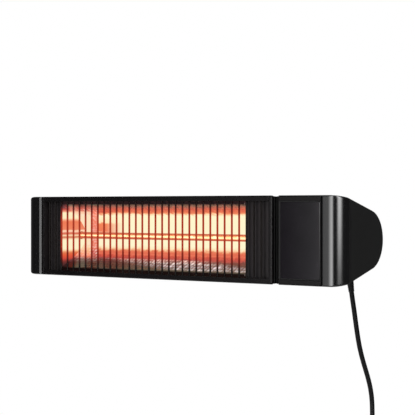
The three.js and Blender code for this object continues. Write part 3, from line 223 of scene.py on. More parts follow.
# %% [markdown]
# ## Moulded plastics and rubber
# Injection-moulded plastic takes the fine spark-eroded grain of its mould, which breaks
# up the gloss. The real grain is about 0.1 mm; it is drawn at 0.8 to 1.5 mm, because
# anything finer would vanish in the picture. Nylon, PVC and the ring's glass-filled nylon
# are far duller in the photograph than their index of refraction gives, since their grain
# traps light, so their specular level is low.

# %% Plastics
PLASTICS = {  # colour, roughness, specular level, grain size and height in mm
    "Moulded black nylon": ("#090909", 0.44, 0.15, 1.0, 0.012),
    "Black glass-filled nylon": ("#030303", 0.5, 0.05, 1.0, 0.012),
    "Black PVC sheath": ("#080809", 0.36, 0.14, 1.5, 0.015),
    "Black PVC plug": ("#101011", 0.34, 0.4, 1.2, 0.012),
    "Natural nylon": ("#DEDACC", 0.42, 0.5, 1.0, 0.010),
    "Blue PBT": ("#2B4A7C", 0.38, 0.5, 0.9, 0.008),
    "Unglazed steatite": ("#E9E4D8", 0.72, 0.5, 0.9, 0.020),
}
plastic = {
    name: mottled(
        name, finish, cloud=(22, 3.0), tint=(0.06, "OVERLAY"), wear=(-0.06, 0.08),
        grain=(2.0, 0.7),
    )
    for name, finish in PLASTICS.items()
}
print(len(plastic), "plastics")

# %% [markdown]
# ## A tool for pieces
# A piece is a list of rings, and each ring is a closed row of points. Joining them one
# after another is a loft, which serves for the bar, for round things and for frames.
# The piece then rides on a CAD body, and hides the CAD nodes it stands for.


# %% Rings to shapes
def loft(rings, loop=False):
    """Points and faces joining rings of equal counts; loop joins the last to the first."""
    count = len(rings[0])
    points = [point for ring in rings for point in ring]
    faces = []
    for i in range(len(rings) if loop else len(rings) - 1):
        near, far = i * count, (i + 1) % len(rings) * count
        for j in range(count):
            k = (j + 1) % count
            faces.append((near + j, near + k, far + k, far + j))
    if not loop:
        faces += [tuple(range(count)), tuple(range(len(points) - count, len(points)))]
    return points, faces


def join(*shapes):
    """Several shapes as one."""
    points, faces = [], []
    for more, their in shapes:
        start = len(points)
        points += more
        faces += [tuple(start + i for i in face) for face in their]
    return points, faces


# %% Shapes to pieces
def make(name, shape, body, material, stands_for=(), sharp=30, bevel=0.0):
    """Turn points in mm and faces into a piece that rides on a body."""
    mesh = bpy.data.meshes.new(name)
    mesh.from_pydata([point * MM for point in shape[0]], [], shape[1])
    work = bmesh.new()
    work.from_mesh(mesh)
    bmesh.ops.recalc_face_normals(work, faces=work.faces)
    work.to_mesh(mesh)
    work.free()
    mesh.materials.append(material)
    mesh.shade_smooth()
    mesh.set_sharp_from_angle(angle=math.radians(sharp))
    piece = placed(name, mesh)
    if bevel:
        edge = piece.modifiers.new("Softened edges", "BEVEL")
        edge.width, edge.segments = bevel * MM, 2
        edge.limit_method, edge.angle_limit = "ANGLE", math.radians(sharp)
        edge.use_clamp_overlap = True
    piece.modifiers.new("Even shading", "WEIGHTED_NORMAL").keep_sharp = True
    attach(piece, body)
    if stands_for:
        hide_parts(*stands_for)
    print(f"{name}: {len(mesh.polygons)} faces")
    return piece


# %% Turned shapes
def turned(start, direction, profile, sides=48, bend=None, across=None, loop=False):
    """Revolve (along, radius) pairs round an axis; bend(angle, along) scales the radius."""
    axis = Vector(direction).normalized()
    first = Vector(across).normalized() if across else axis.orthogonal().normalized()
    second = axis.cross(first)
    rings = []
    for along, radius in profile:
        ring = []
        for i in range(sides):
            angle = 2 * math.pi * i / sides
            reach = radius * (bend(angle, along) if bend else 1)
            sideways = first * math.cos(angle) + second * math.sin(angle)
            ring.append(start + axis * along + sideways * reach)
        rings.append(ring)
    return loft(rings, loop)


# %% [markdown]
# ## The mains lead
# The lead is a 7 mm round three-core cable, 1.8 m long. It leaves the cap's underside
# through a tapered strain relief, sags back towards the wall in one slack bend and hangs
# plumb. What the photograph doesn't show is wound up in a tied coil of six turns, just
# below the picture. One open Bezier curve with a round bevel runs through the points of
# the CAD source's route, so that the whole lead has its real length.

# %% Where the lead leaves
CORD, CORD_DEPTH, CORD_FROM_END = 7, 51.5, 18
OUT = Vector((0, math.sin(TAPER), -math.cos(TAPER)))  # square to the underside
EXIT = spot(RIGHT - CORD_FROM_END, CORD_DEPTH, -slant_at(CORD_DEPTH))
RELIEF_LENGTH, RELIEF_STRAIGHT, RELIEF_TOP, RELIEF_END = 22, 7.7, 4.9, 4.1
relief_tip = EXIT + OUT * RELIEF_LENGTH
print("the lead leaves at", tuple(round(v, 1) for v in relief_tip))

# %% The hanging stretch
HANG_DEPTH, COIL_HEIGHT = 121.8, -326
HANGING = [  # depth and height
    (61.0, -88.0), (65.2, -102.0), (69.2, -116.5), (73.4, -131.0), (78.2, -146.0),
    (84.2, -160.8), (92.0, -176.0), (101.0, -191.3), (109.6, -206.4), (116.4, -221.8),
    (120.3, -237.2), (121.6, -252.8), (HANG_DEPTH, -270.0), (HANG_DEPTH, -290.0),
]
hanging = [relief_tip + OUT * FIT]
hanging += [spot(EXIT.x, depth, height) for depth, height in HANGING]
hanging += [spot(EXIT.x, HANG_DEPTH, COIL_HEIGHT + CORD)]
print(len(hanging), "points down to the coil")

# %% The coil
COIL_BOTTOM_RADIUS, COIL_PITCH, COIL_LAYERS = 36, 8.4, 4
SPIRAL_TURNS, CLIMB_TURNS, STEPS_PER_TURN, TAIL = 1.125, 0.5, 24, 16
COIL_TOP_RADIUS = COIL_BOTTOM_RADIUS + COIL_PITCH * SPIRAL_TURNS
coil_middle = spot(EXIT.x - COIL_TOP_RADIUS, HANG_DEPTH, COIL_HEIGHT)
layer_turns = SPIRAL_TURNS + CLIMB_TURNS
turns = COIL_LAYERS * layer_turns - CLIMB_TURNS
coil = []
for i in range(round(turns * STEPS_PER_TURN) + 1):
    turn = i / STEPS_PER_TURN
    layer = min(int(turn / layer_turns), COIL_LAYERS - 1)
    in_layer = turn - layer * layer_turns
    spiralled = min(in_layer, SPIRAL_TURNS) * COIL_PITCH
    climbed = max(in_layer - SPIRAL_TURNS, 0) / CLIMB_TURNS
    inwards = layer % 2 == 0
    radius = COIL_TOP_RADIUS - spiralled if inwards else COIL_BOTTOM_RADIUS + spiralled
    angle = -2 * math.pi * turn
    coil.append(coil_middle + Vector((
        radius * math.cos(angle), -COIL_PITCH * (layer + climbed), radius * math.sin(angle)
    )))
coil += [coil[-1] - Vector((0, 0, TAIL / 2)), coil[-1] - Vector((0, 0, TAIL))]
plug_top = coil[-1] - Vector((0, 0, FIT))
print(f"{turns} turns in {COIL_LAYERS} layers")

# %% The lead's curve
route = [relief_tip - OUT * 5, *hanging, *coil]  # it starts 5 mm inside the strain relief
lead_length = sum((q - p).length for p, q in zip(route, route[1:]))
curve = bpy.data.curves.new("mains_lead", "CURVE")
curve.dimensions = "3D"
curve.bevel_depth = CORD / 2 * MM
curve.bevel_resolution, curve.resolution_u = 4, 5
curve.use_fill_caps = True
spline = curve.splines.new("BEZIER")
spline.bezier_points.add(len(route) - 1)
for point, where in zip(spline.bezier_points, route):
    point.co = where * MM
    point.handle_left_type = point.handle_right_type = "AUTO"
curve.materials.append(plastic["Black PVC sheath"])
mains_lead = placed("mains_lead", curve)
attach(mains_lead, "head_and_bracket")
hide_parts("cord_free", "cord_coil")
print(f"lead: {lead_length:.0f} mm on {len(route)} points")

# %% [markdown]
# The strain relief is soft PVC with rings cut into its taper, so that it bends evenly
# where the lead would otherwise kink. It is turned from a profile: a smooth shank
# through the wall, then five ribs that get thinner towards the tip.

# %% Strain relief
RIBS = 5
profile = [(-8, RELIEF_TOP - 0.4), (-7.6, RELIEF_TOP), (RELIEF_STRAIGHT - 0.6, RELIEF_TOP)]
rib_pitch = (RELIEF_LENGTH - RELIEF_STRAIGHT) / RIBS
for i in range(RIBS):
    start = RELIEF_STRAIGHT + i * rib_pitch
    top = RELIEF_TOP + (RELIEF_END - RELIEF_TOP) * (i + 0.5) / RIBS
    profile += [
        (start, top - 0.1), (start + 0.15, top - 0.75), (start + 0.75, top - 0.75),
        (start + 0.9, top - 0.1), (start + 1.2, top), (start + rib_pitch - 0.3, top),
    ]
profile.append((RELIEF_LENGTH, RELIEF_END - 0.35))
make(
    "strain_relief", turned(EXIT, OUT, profile, 40), "head_and_bracket",
    plastic["Black PVC sheath"], ["cable_gland"], sharp=50,
)

# %% [markdown]
# The plug is a round moulded mains plug: a ribbed neck, a waist to grip it by and a
# disc with a keyway in each side. A turned profile does it; the keyways are cut by
# drawing the rings in where a small circle bites into them.

# %% Plug
PLUG_RADIUS, PLUG_FACE, PLUG_DISC, KEYWAY = 19, 54, 12, 4
NECK_RIBS, NECK_PITCH, NECK_TOP, NECK_GROWTH = 6, 3, 4.6, 1.9
DOWN = (0, 0, -1)


def keyed(angle, along):
    """The share of the radius left by a keyway at each side of the disc."""
    if along < PLUG_FACE - PLUG_DISC:
        return 1
    off = 2 * math.asin(min(abs(math.sin(angle / 2)), abs(math.cos(angle / 2))))
    centre = PLUG_RADIUS + 1
    inside = KEYWAY**2 - (centre * math.sin(off)) ** 2
    if inside <= 0:
        return 1
    return min(1, (centre * math.cos(off) - math.sqrt(inside)) / PLUG_RADIUS)


profile = [(0, 4.2), (0.4, 4.5)]
for i in range(NECK_RIBS):
    start, top = 1.4 + NECK_PITCH * i, NECK_TOP + NECK_GROWTH * i / NECK_RIBS
    profile += [
        (start, top), (start + 0.3, top - 0.8), (start + 1.2, top - 0.8),
        (start + 1.5, top + 0.1),
    ]
profile += [
    (20, 6.5), (21.5, 9.6), (25, 11.8), (28, 13.4), (31, 14.0), (34.5, 13.6), (38, 13.3),
    (40.5, 14.8), (42, 17.6), (42.8, 18.7), (44, 19), (53, 19), (53.7, 18.7), (54, 18),
]
plug = make(
    "plug", turned(plug_top, DOWN, profile, 96, keyed, across=(0, 1, 0)),
    "head_and_bracket", plastic["Black PVC plug"], ["plug_body"], sharp=40,
)

# %% [markdown]
# The pins are turned brass with a bright nickel plate: a warm mirror with faint lathe
# marks, which run round the pin in bands.

# %% Nickel-plated pins
PIN_SPACING = 19
nickel, tree, shader, place = new_material("Nickel plate", "#C9C4B8", 0.2, Metallic=1.0)
marks = node(
    tree, "TexWave",
    {"Vector": place, "Scale": per_mm(9), "Distortion": 0.6, "Detail": 2.0},
    wave_type="BANDS", bands_direction="Z",
)
turning = node(tree, "MapRange", {"Value": marks.outputs[1], "To Min": 0.14, "To Max": 0.3})
feed(shader, {"Roughness": turning})
for name, side in (("plug_pin_left", -1), ("plug_pin_right", 1)):
    top = plug_top + Vector((side * PIN_SPACING / 2, 0, -PLUG_FACE - FIT))
    profile = [(0, 2.4), (17.2, 2.4), (18.2, 2.15), (18.8, 1.6), (19, 0.9)]
    make(
        name + "_bright", turned(top, DOWN, profile, 32), "head_and_bracket",
        nickel, [name], sharp=60,
    )

# %% [markdown]
# A nylon strap ties the coil's turns together. It is a flat band with rounded corners,
# so it is lofted as a loop of four rounded rectangles.


# %% Rounded rectangles
def rounded(width, height, radius, steps=6):
    """A rounded rectangle's points as (across, up)."""
    x, z = width / 2 - radius, height / 2 - radius
    points = []
    for start, (sx, sz) in enumerate(((1, 1), (-1, 1), (-1, -1), (1, -1))):
        for i in range(steps + 1):
            angle = math.pi / 2 * (start + i / steps)
            points.append((
                sx * x + radius * math.cos(angle), sz * z + radius * math.sin(angle)
            ))
    return points


# %% The coil's tie
TIE_GAP, TIE_THICK, TIE_HALF, TIE_ROUND = 0.7, 1.3, 4, 4
reach = CORD / 2 + TIE_GAP
stack = (COIL_LAYERS - 1) * COIL_PITCH
tie_width = COIL_TOP_RADIUS - COIL_BOTTOM_RADIUS + 2 * reach
tie_middle = coil_middle + Vector((
    (COIL_TOP_RADIUS + COIL_BOTTOM_RADIUS) / 2, -stack / 2, 0
))
rings = []
for grow, high in (
    (0, -TIE_HALF), (TIE_THICK, -TIE_HALF), (TIE_THICK, TIE_HALF), (0, TIE_HALF)
):
    ring = rounded(tie_width + 2 * grow, stack + 2 * (reach + grow), TIE_ROUND + grow)
    rings.append([tie_middle + Vector((x, y, high)) for x, y in ring])
tie = make(
    "coil_tie", loft(rings, loop=True), "head_and_bracket",
    plastic["Natural nylon"], ["cord_tie"], bevel=0.3,
)

# %% [markdown]
# ## Black powder coat
# The bar is an aluminium extrusion with a baked powder coat: satin, nearly black, with
# the faint orange peel that the powder leaves when it melts. Peel is about 1 mm from
# crest to crest and is drawn at 1.4 to 2 mm; a larger mottle varies the gloss a little.
# The bracket's coat is coarser and matt. The folded plates at the mouth get a smooth
# graphite lacquer that stands the heat.

# %% Powder coats
COATS = {  # colour, roughness, specular level, peel size and height in mm
    "Satin black powder coat": ("#0B090A", 0.26, 0.12, 2.0, 0.012),
    "Matt black powder coat": ("#171718", 0.56, 0.4, 1.4, 0.03),
    "Graphite heat-proof lacquer": ("#221F20", 0.34, 0.12, 1.8, 0.01),
}
coats = {
    name: mottled(
        name, finish, cloud=(60, 4.0), tint=(0.08, "SOFT_LIGHT"), wear=(-0.05, 0.06),
        grain=(1.5, 0.6),
    )
    for name, finish in COATS.items()
}
satin = coats["Satin black powder coat"]
print(len(coats), "coats")

# %% [markdown]
# ## The housings
# Both housings are cut from the same hollow extrusion, open at the front between two
# lips. Their outline is drawn once, with many steps round the nose, and the inside of
# the wall is the same outline moved in by 2 mm.


# %% The cross-section
def section(inset=0.0, front=None, round_steps=5, nose_steps=26):
    """The closed outline as (depth, height), moved in by inset, its face at depth front."""
    front = inset if front is None else front
    small = max(EDGE_ROUND - inset, 0.5)
    corner = front + small
    high = slant_at(corner, inset + small)
    square = math.pi / 2 - TAPER
    upper = []
    for i in range(round_steps + 1):
        angle = math.pi + (square - math.pi) * i / round_steps
        upper.append((corner + small * math.cos(angle), high + small * math.sin(angle)))
    for i in range(nose_steps + 1):
        angle = square * (1 - i / nose_steps)
        upper.append((
            NOSE_DEPTH + (NOSE_RADIUS - inset) * math.cos(angle),
            (NOSE_RADIUS - inset) * math.sin(angle),
        ))
    return upper + [(depth, -height) for depth, height in reversed(upper[:-1])]


def ring_at(x, outline):
    """An outline of (depth, height) pairs as a ring across the bar."""
    return [spot(x, depth, height) for depth, height in outline]


# %% Lamp and head housings
shell = [(0, OPENING_HALF), *section(), (0, -OPENING_HALF)]
shell += [(WALL, -OPENING_HALF), *reversed(section(WALL)), (WALL, OPENING_HALF)]
for name, node_name, body, ends in (
    ("lamp_shell", "lamp_housing", "lamp_section", (SHELL_LEFT, SHELL_RIGHT)),
    ("head_shell", "head_housing", "head_and_bracket", (HEAD_LEFT, HEAD_RIGHT)),
):
    make(
        name, loft([ring_at(x, shell) for x in ends]), body, satin,
        [node_name], sharp=28, bevel=0.35,
    )

# %% [markdown]
# A moulded frame closes each end of the lamp section. On the front it shows as an
# upright stile 6 mm wide whose outer edge is rounded over 2 mm; that round catches the
# light and draws the thin bright line beside the joint.

# %% End frames
STILE_ROUND, STILE_EDGE = 2, 0.2
for name, side, origin in (("left", 1, LAMP_LEFT), ("right", -1, LAMP_RIGHT)):
    rings = []
    for x in (0, 0.06, 0.2, 0.45, 0.8, 1.2, 1.6, 2, 2.2, STILE - 0.5, STILE - 0.25, STILE):
        short = max(STILE_ROUND - max(x, 0.02), 0)
        edge = STILE_ROUND - math.sqrt(STILE_ROUND**2 - short**2)
        if x == STILE:
            edge = STILE_EDGE
        rings.append(ring_at(origin + side * x, section(edge / 2, edge)))
    make(
        "frame_" + name, loft(rings), "lamp_section", satin,
        ["lamp_frame_" + name], sharp=40,
    )

# %% [markdown]
# ## The ringed joint
# The lamp section turns against the head in a labyrinth of three grooves and two ribs.
# One rib turns and one stands still. Each half is a loft whose outline steps in and out.

# %% Joint rings
GROOVE, RIB, GROOVE_DEPTH, RIB_DEPTH, RIB_EDGE, INNER_DEPTH = 2.1, 2.1, 6, 1.2, 0.35, 14
rib_start = LAMP_RIGHT + GROOVE
rib_end, still_start = rib_start + RIB, rib_start + RIB + GROOVE
rib_steps = [(0, GROOVE_DEPTH), (0, RIB_DEPTH + RIB_EDGE), (RIB_EDGE, RIB_DEPTH)]
rib_steps += [(RIB - RIB_EDGE, RIB_DEPTH), (RIB, RIB_DEPTH + RIB_EDGE)]
for name, body, steps in (
    ("lamp", "lamp_section",
     [(LAMP_RIGHT + FIT, GROOVE_DEPTH), *((rib_start + x, d) for x, d in rib_steps),
      (rib_end, INNER_DEPTH)]),
    ("head", "head_and_bracket",
     [(rib_end + RIB_EDGE, INNER_DEPTH), (still_start, INNER_DEPTH),
      *((still_start + x, d) for x, d in rib_steps),
      (still_start + RIB, GROOVE_DEPTH), (HEAD_LEFT - FIT, GROOVE_DEPTH)]),
):
    make(
        "ring_" + name, loft([ring_at(x, section(depth)) for x, depth in steps]), body,
        plastic["Black glass-filled nylon"], ["joint_ring_" + name],
        sharp=35,
    )

# %% [markdown]
# ## The end caps
# Each cap is moulded in black ABS. Round its big corner the mould was polished, so that
# it mirrors the studio's lights in upright bands; its flat outer side is finely etched
# and stays matt. A bevelled rim goes round the flat side, and a narrow chamfer runs down
# the front edge at the seam.

# %% Cap plastic
GLOSSY_BLACK, ETCHED_BLACK = "#0B0B0C", "#080808"
POLISHED, ETCHED, UNEVEN = 0.15, 0.38, 0.02  # roughness, and how much it wanders
abs_black, tree, shader, place = new_material(
    "Polished and etched black ABS", GLOSSY_BLACK, POLISHED, IOR=1.53
)
parts = node(tree, "SeparateXYZ", {"Vector": place})
outwards = node(tree, "Math", {0: parts.outputs["X"]}, operation="ABSOLUTE")
etched = node(
    tree, "MapRange",
    {"Value": outwards, "From Min": (RIGHT - 1.2) * MM, "From Max": (RIGHT - 0.6) * MM},
)
grain = node(tree, "TexNoise", {"Vector": place, "Scale": per_mm(1.0), "Detail": 2.0})
waves = node(tree, "TexNoise", {"Vector": place, "Scale": per_mm(35), "Detail": 1.0})
finish = node(tree, "MapRange", {"Value": etched, "To Min": POLISHED, "To Max": ETCHED})
uneven = node(tree, "MapRange", {"Value": waves, "To Min": -UNEVEN, "To Max": UNEVEN})
rough = node(tree, "Math", {0: finish, 1: uneven}, operation="ADD")
etch = node(tree, "Math", {0: etched, 1: grain}, operation="MULTIPLY")
relief = node(tree, "Bump", {"Height": etch, "Distance": 0.02 * MM, "Strength": 0.6})
tone = node(tree, "Mix", {0: etched, 6: GLOSSY_BLACK, 7: ETCHED_BLACK}, data_type="RGBA")
feed(shader, {"Base Color": tone, "Roughness": rough, "Normal": relief})

# %% Cap shape
CAP_LENGTH, CAP_CORNER = 36.2, 24
CHAMFER, CHAMFER_DEPTH = 3.4, 1.6
RIM = [(0, 1.55), (0.1, 1.32), (0.35, 1.1), (1.9, 0.17), (2.2, 0.06), (2.6, 0)]
RIM_LEAN = 0.3  # how much of the rim's inset the front edge takes


def cap_outline(x):
    """The cap's outline at a distance x in from its outer side."""
    inset = next(
        (a[1] + (b[1] - a[1]) * (x - a[0]) / (b[0] - a[0])
         for a, b in zip(RIM, RIM[1:]) if a[0] <= x <= b[0]), 0
    )
    front = CAP_CORNER - math.sqrt(CAP_CORNER**2 - max(CAP_CORNER - x, 0) ** 2)
    cut = CHAMFER_DEPTH * max(x - CAP_LENGTH + CHAMFER, 0) / CHAMFER
    outline = section(inset, front + RIM_LEAN * inset)
    return [(max(depth, cut), height) for depth, height in outline]


round_corner = [CAP_CORNER * (1 - math.cos(math.pi / 2 * i / 24)) for i in range(1, 25)]
stations = sorted({x for x, _ in RIM} | {x for x in round_corner if x > 0.15})
stations += [CAP_LENGTH - CHAMFER, CAP_LENGTH - CHAMFER / 2, CAP_LENGTH - 0.01, CAP_LENGTH]
for name, body, side, origin in (
    ("left", "lamp_section", 1, LEFT), ("right", "head_and_bracket", -1, RIGHT)
):
    make(
        "cap_" + name, loft([ring_at(origin + side * x, cap_outline(x)) for x in stations]),
        body, abs_black, [name + "_end_cap"], sharp=20,
    )

# %% [markdown]
# ## The reflector
# The trough is polished aluminium sheet, pressed with shallow dimples that spread the
# heat. The lamp lies in its focus, so the sheet is full of the lamp's image: cream in the
# middle, then orange and red towards the edges, and only the outermost strips stay dark.
# That image is a painted reflection, laid on the sheet as an emission colour by height.
# Near the far end the sheet also mirrors the end wall, which turns the painted reflection
# into pictures with slanting edges; these are painted reflections too. Each dimple shifts
# the painted image a little, near the lower rim single dimples flash with painted glints,
# and at the far corner there are painted glints and painted shade.

# %% The lamp's painted reflection
# The lamp's painted reflection: an emission colour for each height across the mouth.
PAINTED_LAMP_REFLECTION = [  # height across the trough as a share, colour of the glow
    (0.0, "#1A100E"), (0.03, "#2E1E1E"), (0.07, "#45282A"), (0.12, "#5C2E2E"),
    (0.14, "#783434"), (0.165, "#B84440"), (0.18, "#BA4038"), (0.2, "#D05644"),
    (0.22, "#DE6850"), (0.265, "#DE6C50"), (0.28, "#E8946C"), (0.295, "#F8C69A"),
    (0.32, "#FEEAC0"), (0.36, "#FFF4CD"), (0.82, "#FFF2CA"), (0.845, "#FCD8AC"),
    (0.857, "#F09C70"), (0.872, "#DA6C4C"), (0.905, "#CC4C38"), (0.93, "#B84236"),
    (0.95, "#983E38"), (0.965, "#663030"), (0.98, "#402628"), (1.0, "#1E1618"),
]
LOWER_EDGE = [
    (0.0, "#140A0A"), (0.03, "#1E1214"), (0.07, "#2E1A1C"), (0.12, "#4C2228"),
    (0.14, "#703034"),
]
UPPER_EDGE = [stop for stop in PAINTED_LAMP_REFLECTION if stop[0] > 0.9]
END_PICTURES = -275.6
# Painted reflections of the end wall, laid over the lamp's painted reflection.
NEAR_END = [  # pictures of the end wall: where each stops and how softly, in mm; colours
    (-240, 36, [*LOWER_EDGE, *(stop for stop in PAINTED_LAMP_REFLECTION if 0.15 < stop[0] < 0.5),
                (0.53, "#FFF4CD"), (0.56, "#F07C58"), (0.69, "#F48458"), (0.715, "#FFE4B4"),
                (0.82, "#FFF2CA"), (0.84, "#F4AC80"), (0.857, "#DC6848"),
                (0.875, "#C0403A"), *UPPER_EDGE]),
    (END_PICTURES, 3, [
        *LOWER_EDGE, (0.2, "#C04038"), (0.25, "#C83C34"), (0.3, "#EC7258"),
        (0.84, "#F27C60"), (0.88, "#E86450"), *UPPER_EDGE]),
    (-288.5, 3, [*LOWER_EDGE, (0.17, "#DC6C54"), (0.2, "#FA8A64"), (0.25, "#F8AC7C"),
                 (0.3, "#FBCB9A"), (0.36, "#FDE0B4"), (0.82, "#FDE0B8"), (0.87, "#F4BE98"),
                 *UPPER_EDGE]),
]


def mouth_share(tree, parts):
    """The height across the trough's mouth as a share, 0 below and 1 above."""
    half = MOUTH_HALF * MM
    return node(
        tree, "MapRange", {"Value": parts.outputs["Z"], "From Min": -half, "From Max": half}
    )


# %% Dimpled polished aluminium: the painted reflection
# The second colour is the metal darkened as painted shade, used towards the far end.
SHEET_METAL, METAL_IN_PAINTED_SHADE, SHEET_GLOSS = "#342E2C", "#140E10", 0.14
CELL_SIZE, CELLS_FLAT = 6.0, (1.0, 0.0, 1.45)  # the cells as seen from the front
CELL_SHIFT = 0.012  # how far a dimple moves the image, as a share of the height
SIGHT_SLOPE = 0.85  # how far the pictures' edges run along the bar for each mm of depth
trough_metal, tree, shader, place = new_material(
    "Dimpled polished aluminium", SHEET_METAL, SHEET_GLOSS, Metallic=1.0,
    Emission_Strength=1.0,
)
parts = node(tree, "SeparateXYZ", {"Vector": place})
share = mouth_share(tree, parts)
flat = node(tree, "VectorMath", {0: place, 1: CELLS_FLAT}, operation="MULTIPLY")
cells = node(
    tree, "TexVoronoi", {"Vector": flat, "Scale": per_mm(CELL_SIZE), "Randomness": 0.45}
)
pick = node(tree, "SeparateColor", {"Color": cells.outputs["Color"]})
shift = node(
    tree, "MapRange",
    {"Value": pick.outputs["Green"], "To Min": -CELL_SHIFT, "To Max": CELL_SHIFT},
)
moved = node(tree, "Math", {0: share, 1: shift}, operation="ADD")
slanted = node(tree, "Math", {0: parts.outputs["Y"], 1: SIGHT_SLOPE}, operation="MULTIPLY")
sight = node(tree, "Math", {0: parts.outputs["X"], 1: slanted}, operation="ADD")
# Emission colour: the lamp's painted reflection, then the end wall's painted reflections.
image = node(tree, "ValToRGB", {"Fac": moved}, stops=PAINTED_LAMP_REFLECTION)
for stop_at, soft, stops in NEAR_END:
    picture = node(tree, "ValToRGB", {"Fac": moved}, stops=stops)
    past = node(
        tree, "MapRange",
        {"Value": sight, "From Min": (stop_at - soft / 2) * MM,
         "From Max": (stop_at + soft / 2) * MM},
    )
    image = node(tree, "Mix", {0: past, 6: picture, 7: image}, data_type="RGBA")

# %% Dimpled polished aluminium: the painted flashes
# Painted glints' stretch in mm: its middle, its lean over the mouth's height, half its
# width
FLASH_MIDDLE, FLASH_LEAN, FLASH_FULL, FLASH_NONE = 104, 1057, 45, 115
centre = node(
    tree, "MapRange",
    {"Value": cells.outputs["Distance"], "From Min": 0.2, "From Max": 0.62, "To Min": 1.3,
     "To Max": 0.15},
)
lively = node(tree, "MapRange", {"Value": pick.outputs["Red"], "To Min": 0.35})
facet = node(tree, "Math", {0: centre, 1: lively}, operation="MULTIPLY")
rim = node(
    tree, "ValToRGB", {"Fac": share},
    stops=[(0.015, 0.0), (0.035, 1.0), (0.145, 1.0), (0.165, 0.0)],
)
lean = node(tree, "Math", {0: share, 1: FLASH_LEAN * MM}, operation="MULTIPLY")
leaning = node(tree, "Math", {0: parts.outputs["X"], 1: lean}, operation="ADD")
off = node(tree, "Math", {0: leaning, 1: FLASH_MIDDLE * MM}, operation="SUBTRACT")
off = node(tree, "Math", {0: off}, operation="ABSOLUTE")
near = node(
    tree, "MapRange",
    {"Value": off, "From Min": FLASH_FULL * MM, "From Max": FLASH_NONE * MM, "To Min": 0.9,
     "To Max": 0.0},
)
# Painted glints: single dimples near the lower rim flash in the emission colour.
flash = node(tree, "Math", {0: facet, 1: rim}, operation="MULTIPLY")
flash = node(tree, "Math", {0: flash, 1: near}, operation="MULTIPLY")
# The colours of the painted glints, by height.
tinted = node(
    tree, "ValToRGB", {"Fac": share},
    stops=[(0.03, "#F0E8E8"), (0.07, "#E6D0D6"), (0.1, "#EEE0DC"), (0.14, "#FFCCC0")],
)
lit = node(tree, "Mix", {0: flash, 6: image, 7: tinted}, data_type="RGBA")

# %% Dimpled polished aluminium: painted glints and painted shade at the far corner
# Painted shade: the metal's colour darkens towards the far end.
SHADE_FULL, SHADE_NONE = -255, -165  # where the metal is darkest and where it is bright
corner = node(
    tree, "MapRange",
    {"Value": sight, "From Min": (END_PICTURES - 2) * MM, "From Max": END_PICTURES * MM,
     "To Min": 0.5, "To Max": 0.0},
)
# Painted glints near the far corner, mixed into the emission colour.
glints = node(
    tree, "ValToRGB", {"Fac": share},
    stops=[(0.08, 0.0), (0.2, 1.0), (0.9, 1.0), (0.96, 0.0)],
)
painted_corner_glints = node(tree, "Math", {0: facet, 1: corner}, operation="MULTIPLY")
painted_corner_glints = node(tree, "Math", {0: painted_corner_glints, 1: glints}, operation="MULTIPLY")
lit = node(tree, "Mix", {0: painted_corner_glints, 6: lit, 7: "#FFE2D4"}, data_type="RGBA")
near_end = node(
    tree, "MapRange",
    {"Value": sight, "From Min": SHADE_FULL * MM, "From Max": SHADE_NONE * MM},
)
metal = node(tree, "Mix", {0: near_end, 6: METAL_IN_PAINTED_SHADE, 7: SHEET_METAL}, data_type="RGBA")
smear = node(tree, "TexNoise", {"Vector": place, "Scale": per_mm(45), "Detail": 3.0})
gloss = node(
    tree, "MapRange",
    {"Value": smear, "To Min": SHEET_GLOSS - 0.04, "To Max": SHEET_GLOSS + 0.06},
)
feed(shader, {"Base Color": metal, "Emission Color": lit, "Roughness": gloss})

# %% [markdown]
# The end walls are flat and as bright as a mirror. What the eye sees in them is the lamp
# and the trough once more, painted on as an emission: a painted reflection with two bright
# lines for the tube between orange, cream and red.

# %% Plain polished aluminium with a painted reflection
# The painted reflection of the lamp and trough, by height across the mouth.
PAINTED_END_REFLECTION = [
    (0.0, "#4A2828"), (0.06, "#582C2C"), (0.09, "#74302C"), (0.115, "#A03C34"),
    (0.14, "#CC4A3A"), (0.19, "#E05838"), (0.225, "#DC7048"), (0.245, "#EE9C6E"),
    (0.265, "#FCD2A4"), (0.29, "#FFF0C6"), (0.43, "#FFF0C8"), (0.45, "#F8CEA6"),
    (0.47, "#CC7256"), (0.485, "#E09470"), (0.505, "#FFE4BA"), (0.52, "#DC7C60"),
    (0.54, "#D86A52"), (0.56, "#FCC8AA"), (0.575, "#FFD8B4"), (0.595, "#EC8462"),
    (0.72, "#EC7854"), (0.745, "#F4A07C"), (0.775, "#FFEAC0"), (0.86, "#FFEEC2"),
    (0.885, "#EC8A72"), (0.92, "#B64840"), (0.95, "#644446"), (1.0, "#281414"),
]
end_metal, tree, shader, place = new_material(
    "Polished aluminium end, painted reflection", SHEET_METAL, 0.1, Metallic=1.0, Emission_Strength=1.0
)
share = mouth_share(tree, node(tree, "SeparateXYZ", {"Vector": place}))
rubbed = node(tree, "TexNoise", {"Vector": place, "Scale": per_mm(12), "Detail": 3.0})
ripple = node(tree, "MapRange", {"Value": rubbed, "To Min": -0.012, "To Max": 0.012})
rippled = node(tree, "Math", {0: share, 1: ripple}, operation="ADD")
painted_end_image = node(tree, "ValToRGB", {"Fac": rippled}, stops=PAINTED_END_REFLECTION)
gloss = node(tree, "MapRange", {"Value": rubbed, "To Min": 0.06, "To Max": 0.14})
feed(shader, {"Emission Color": painted_end_image, "Roughness": gloss})

# %% [markdown]
# The dimples are real geometry: each cell of 6 by 7 mm is a dish a quarter of a
# millimetre deep, in rows that are staggered by half a cell. The sheet is drawn as a grid
# over a parabola, with a flat flange above and below the mouth.

# %% The trough's surface
CELL_LENGTH, CELL_WIDTH, DISH = 6.0, 7.0, 0.25
MESH_STEP, SHEET = 1.9, 0.8


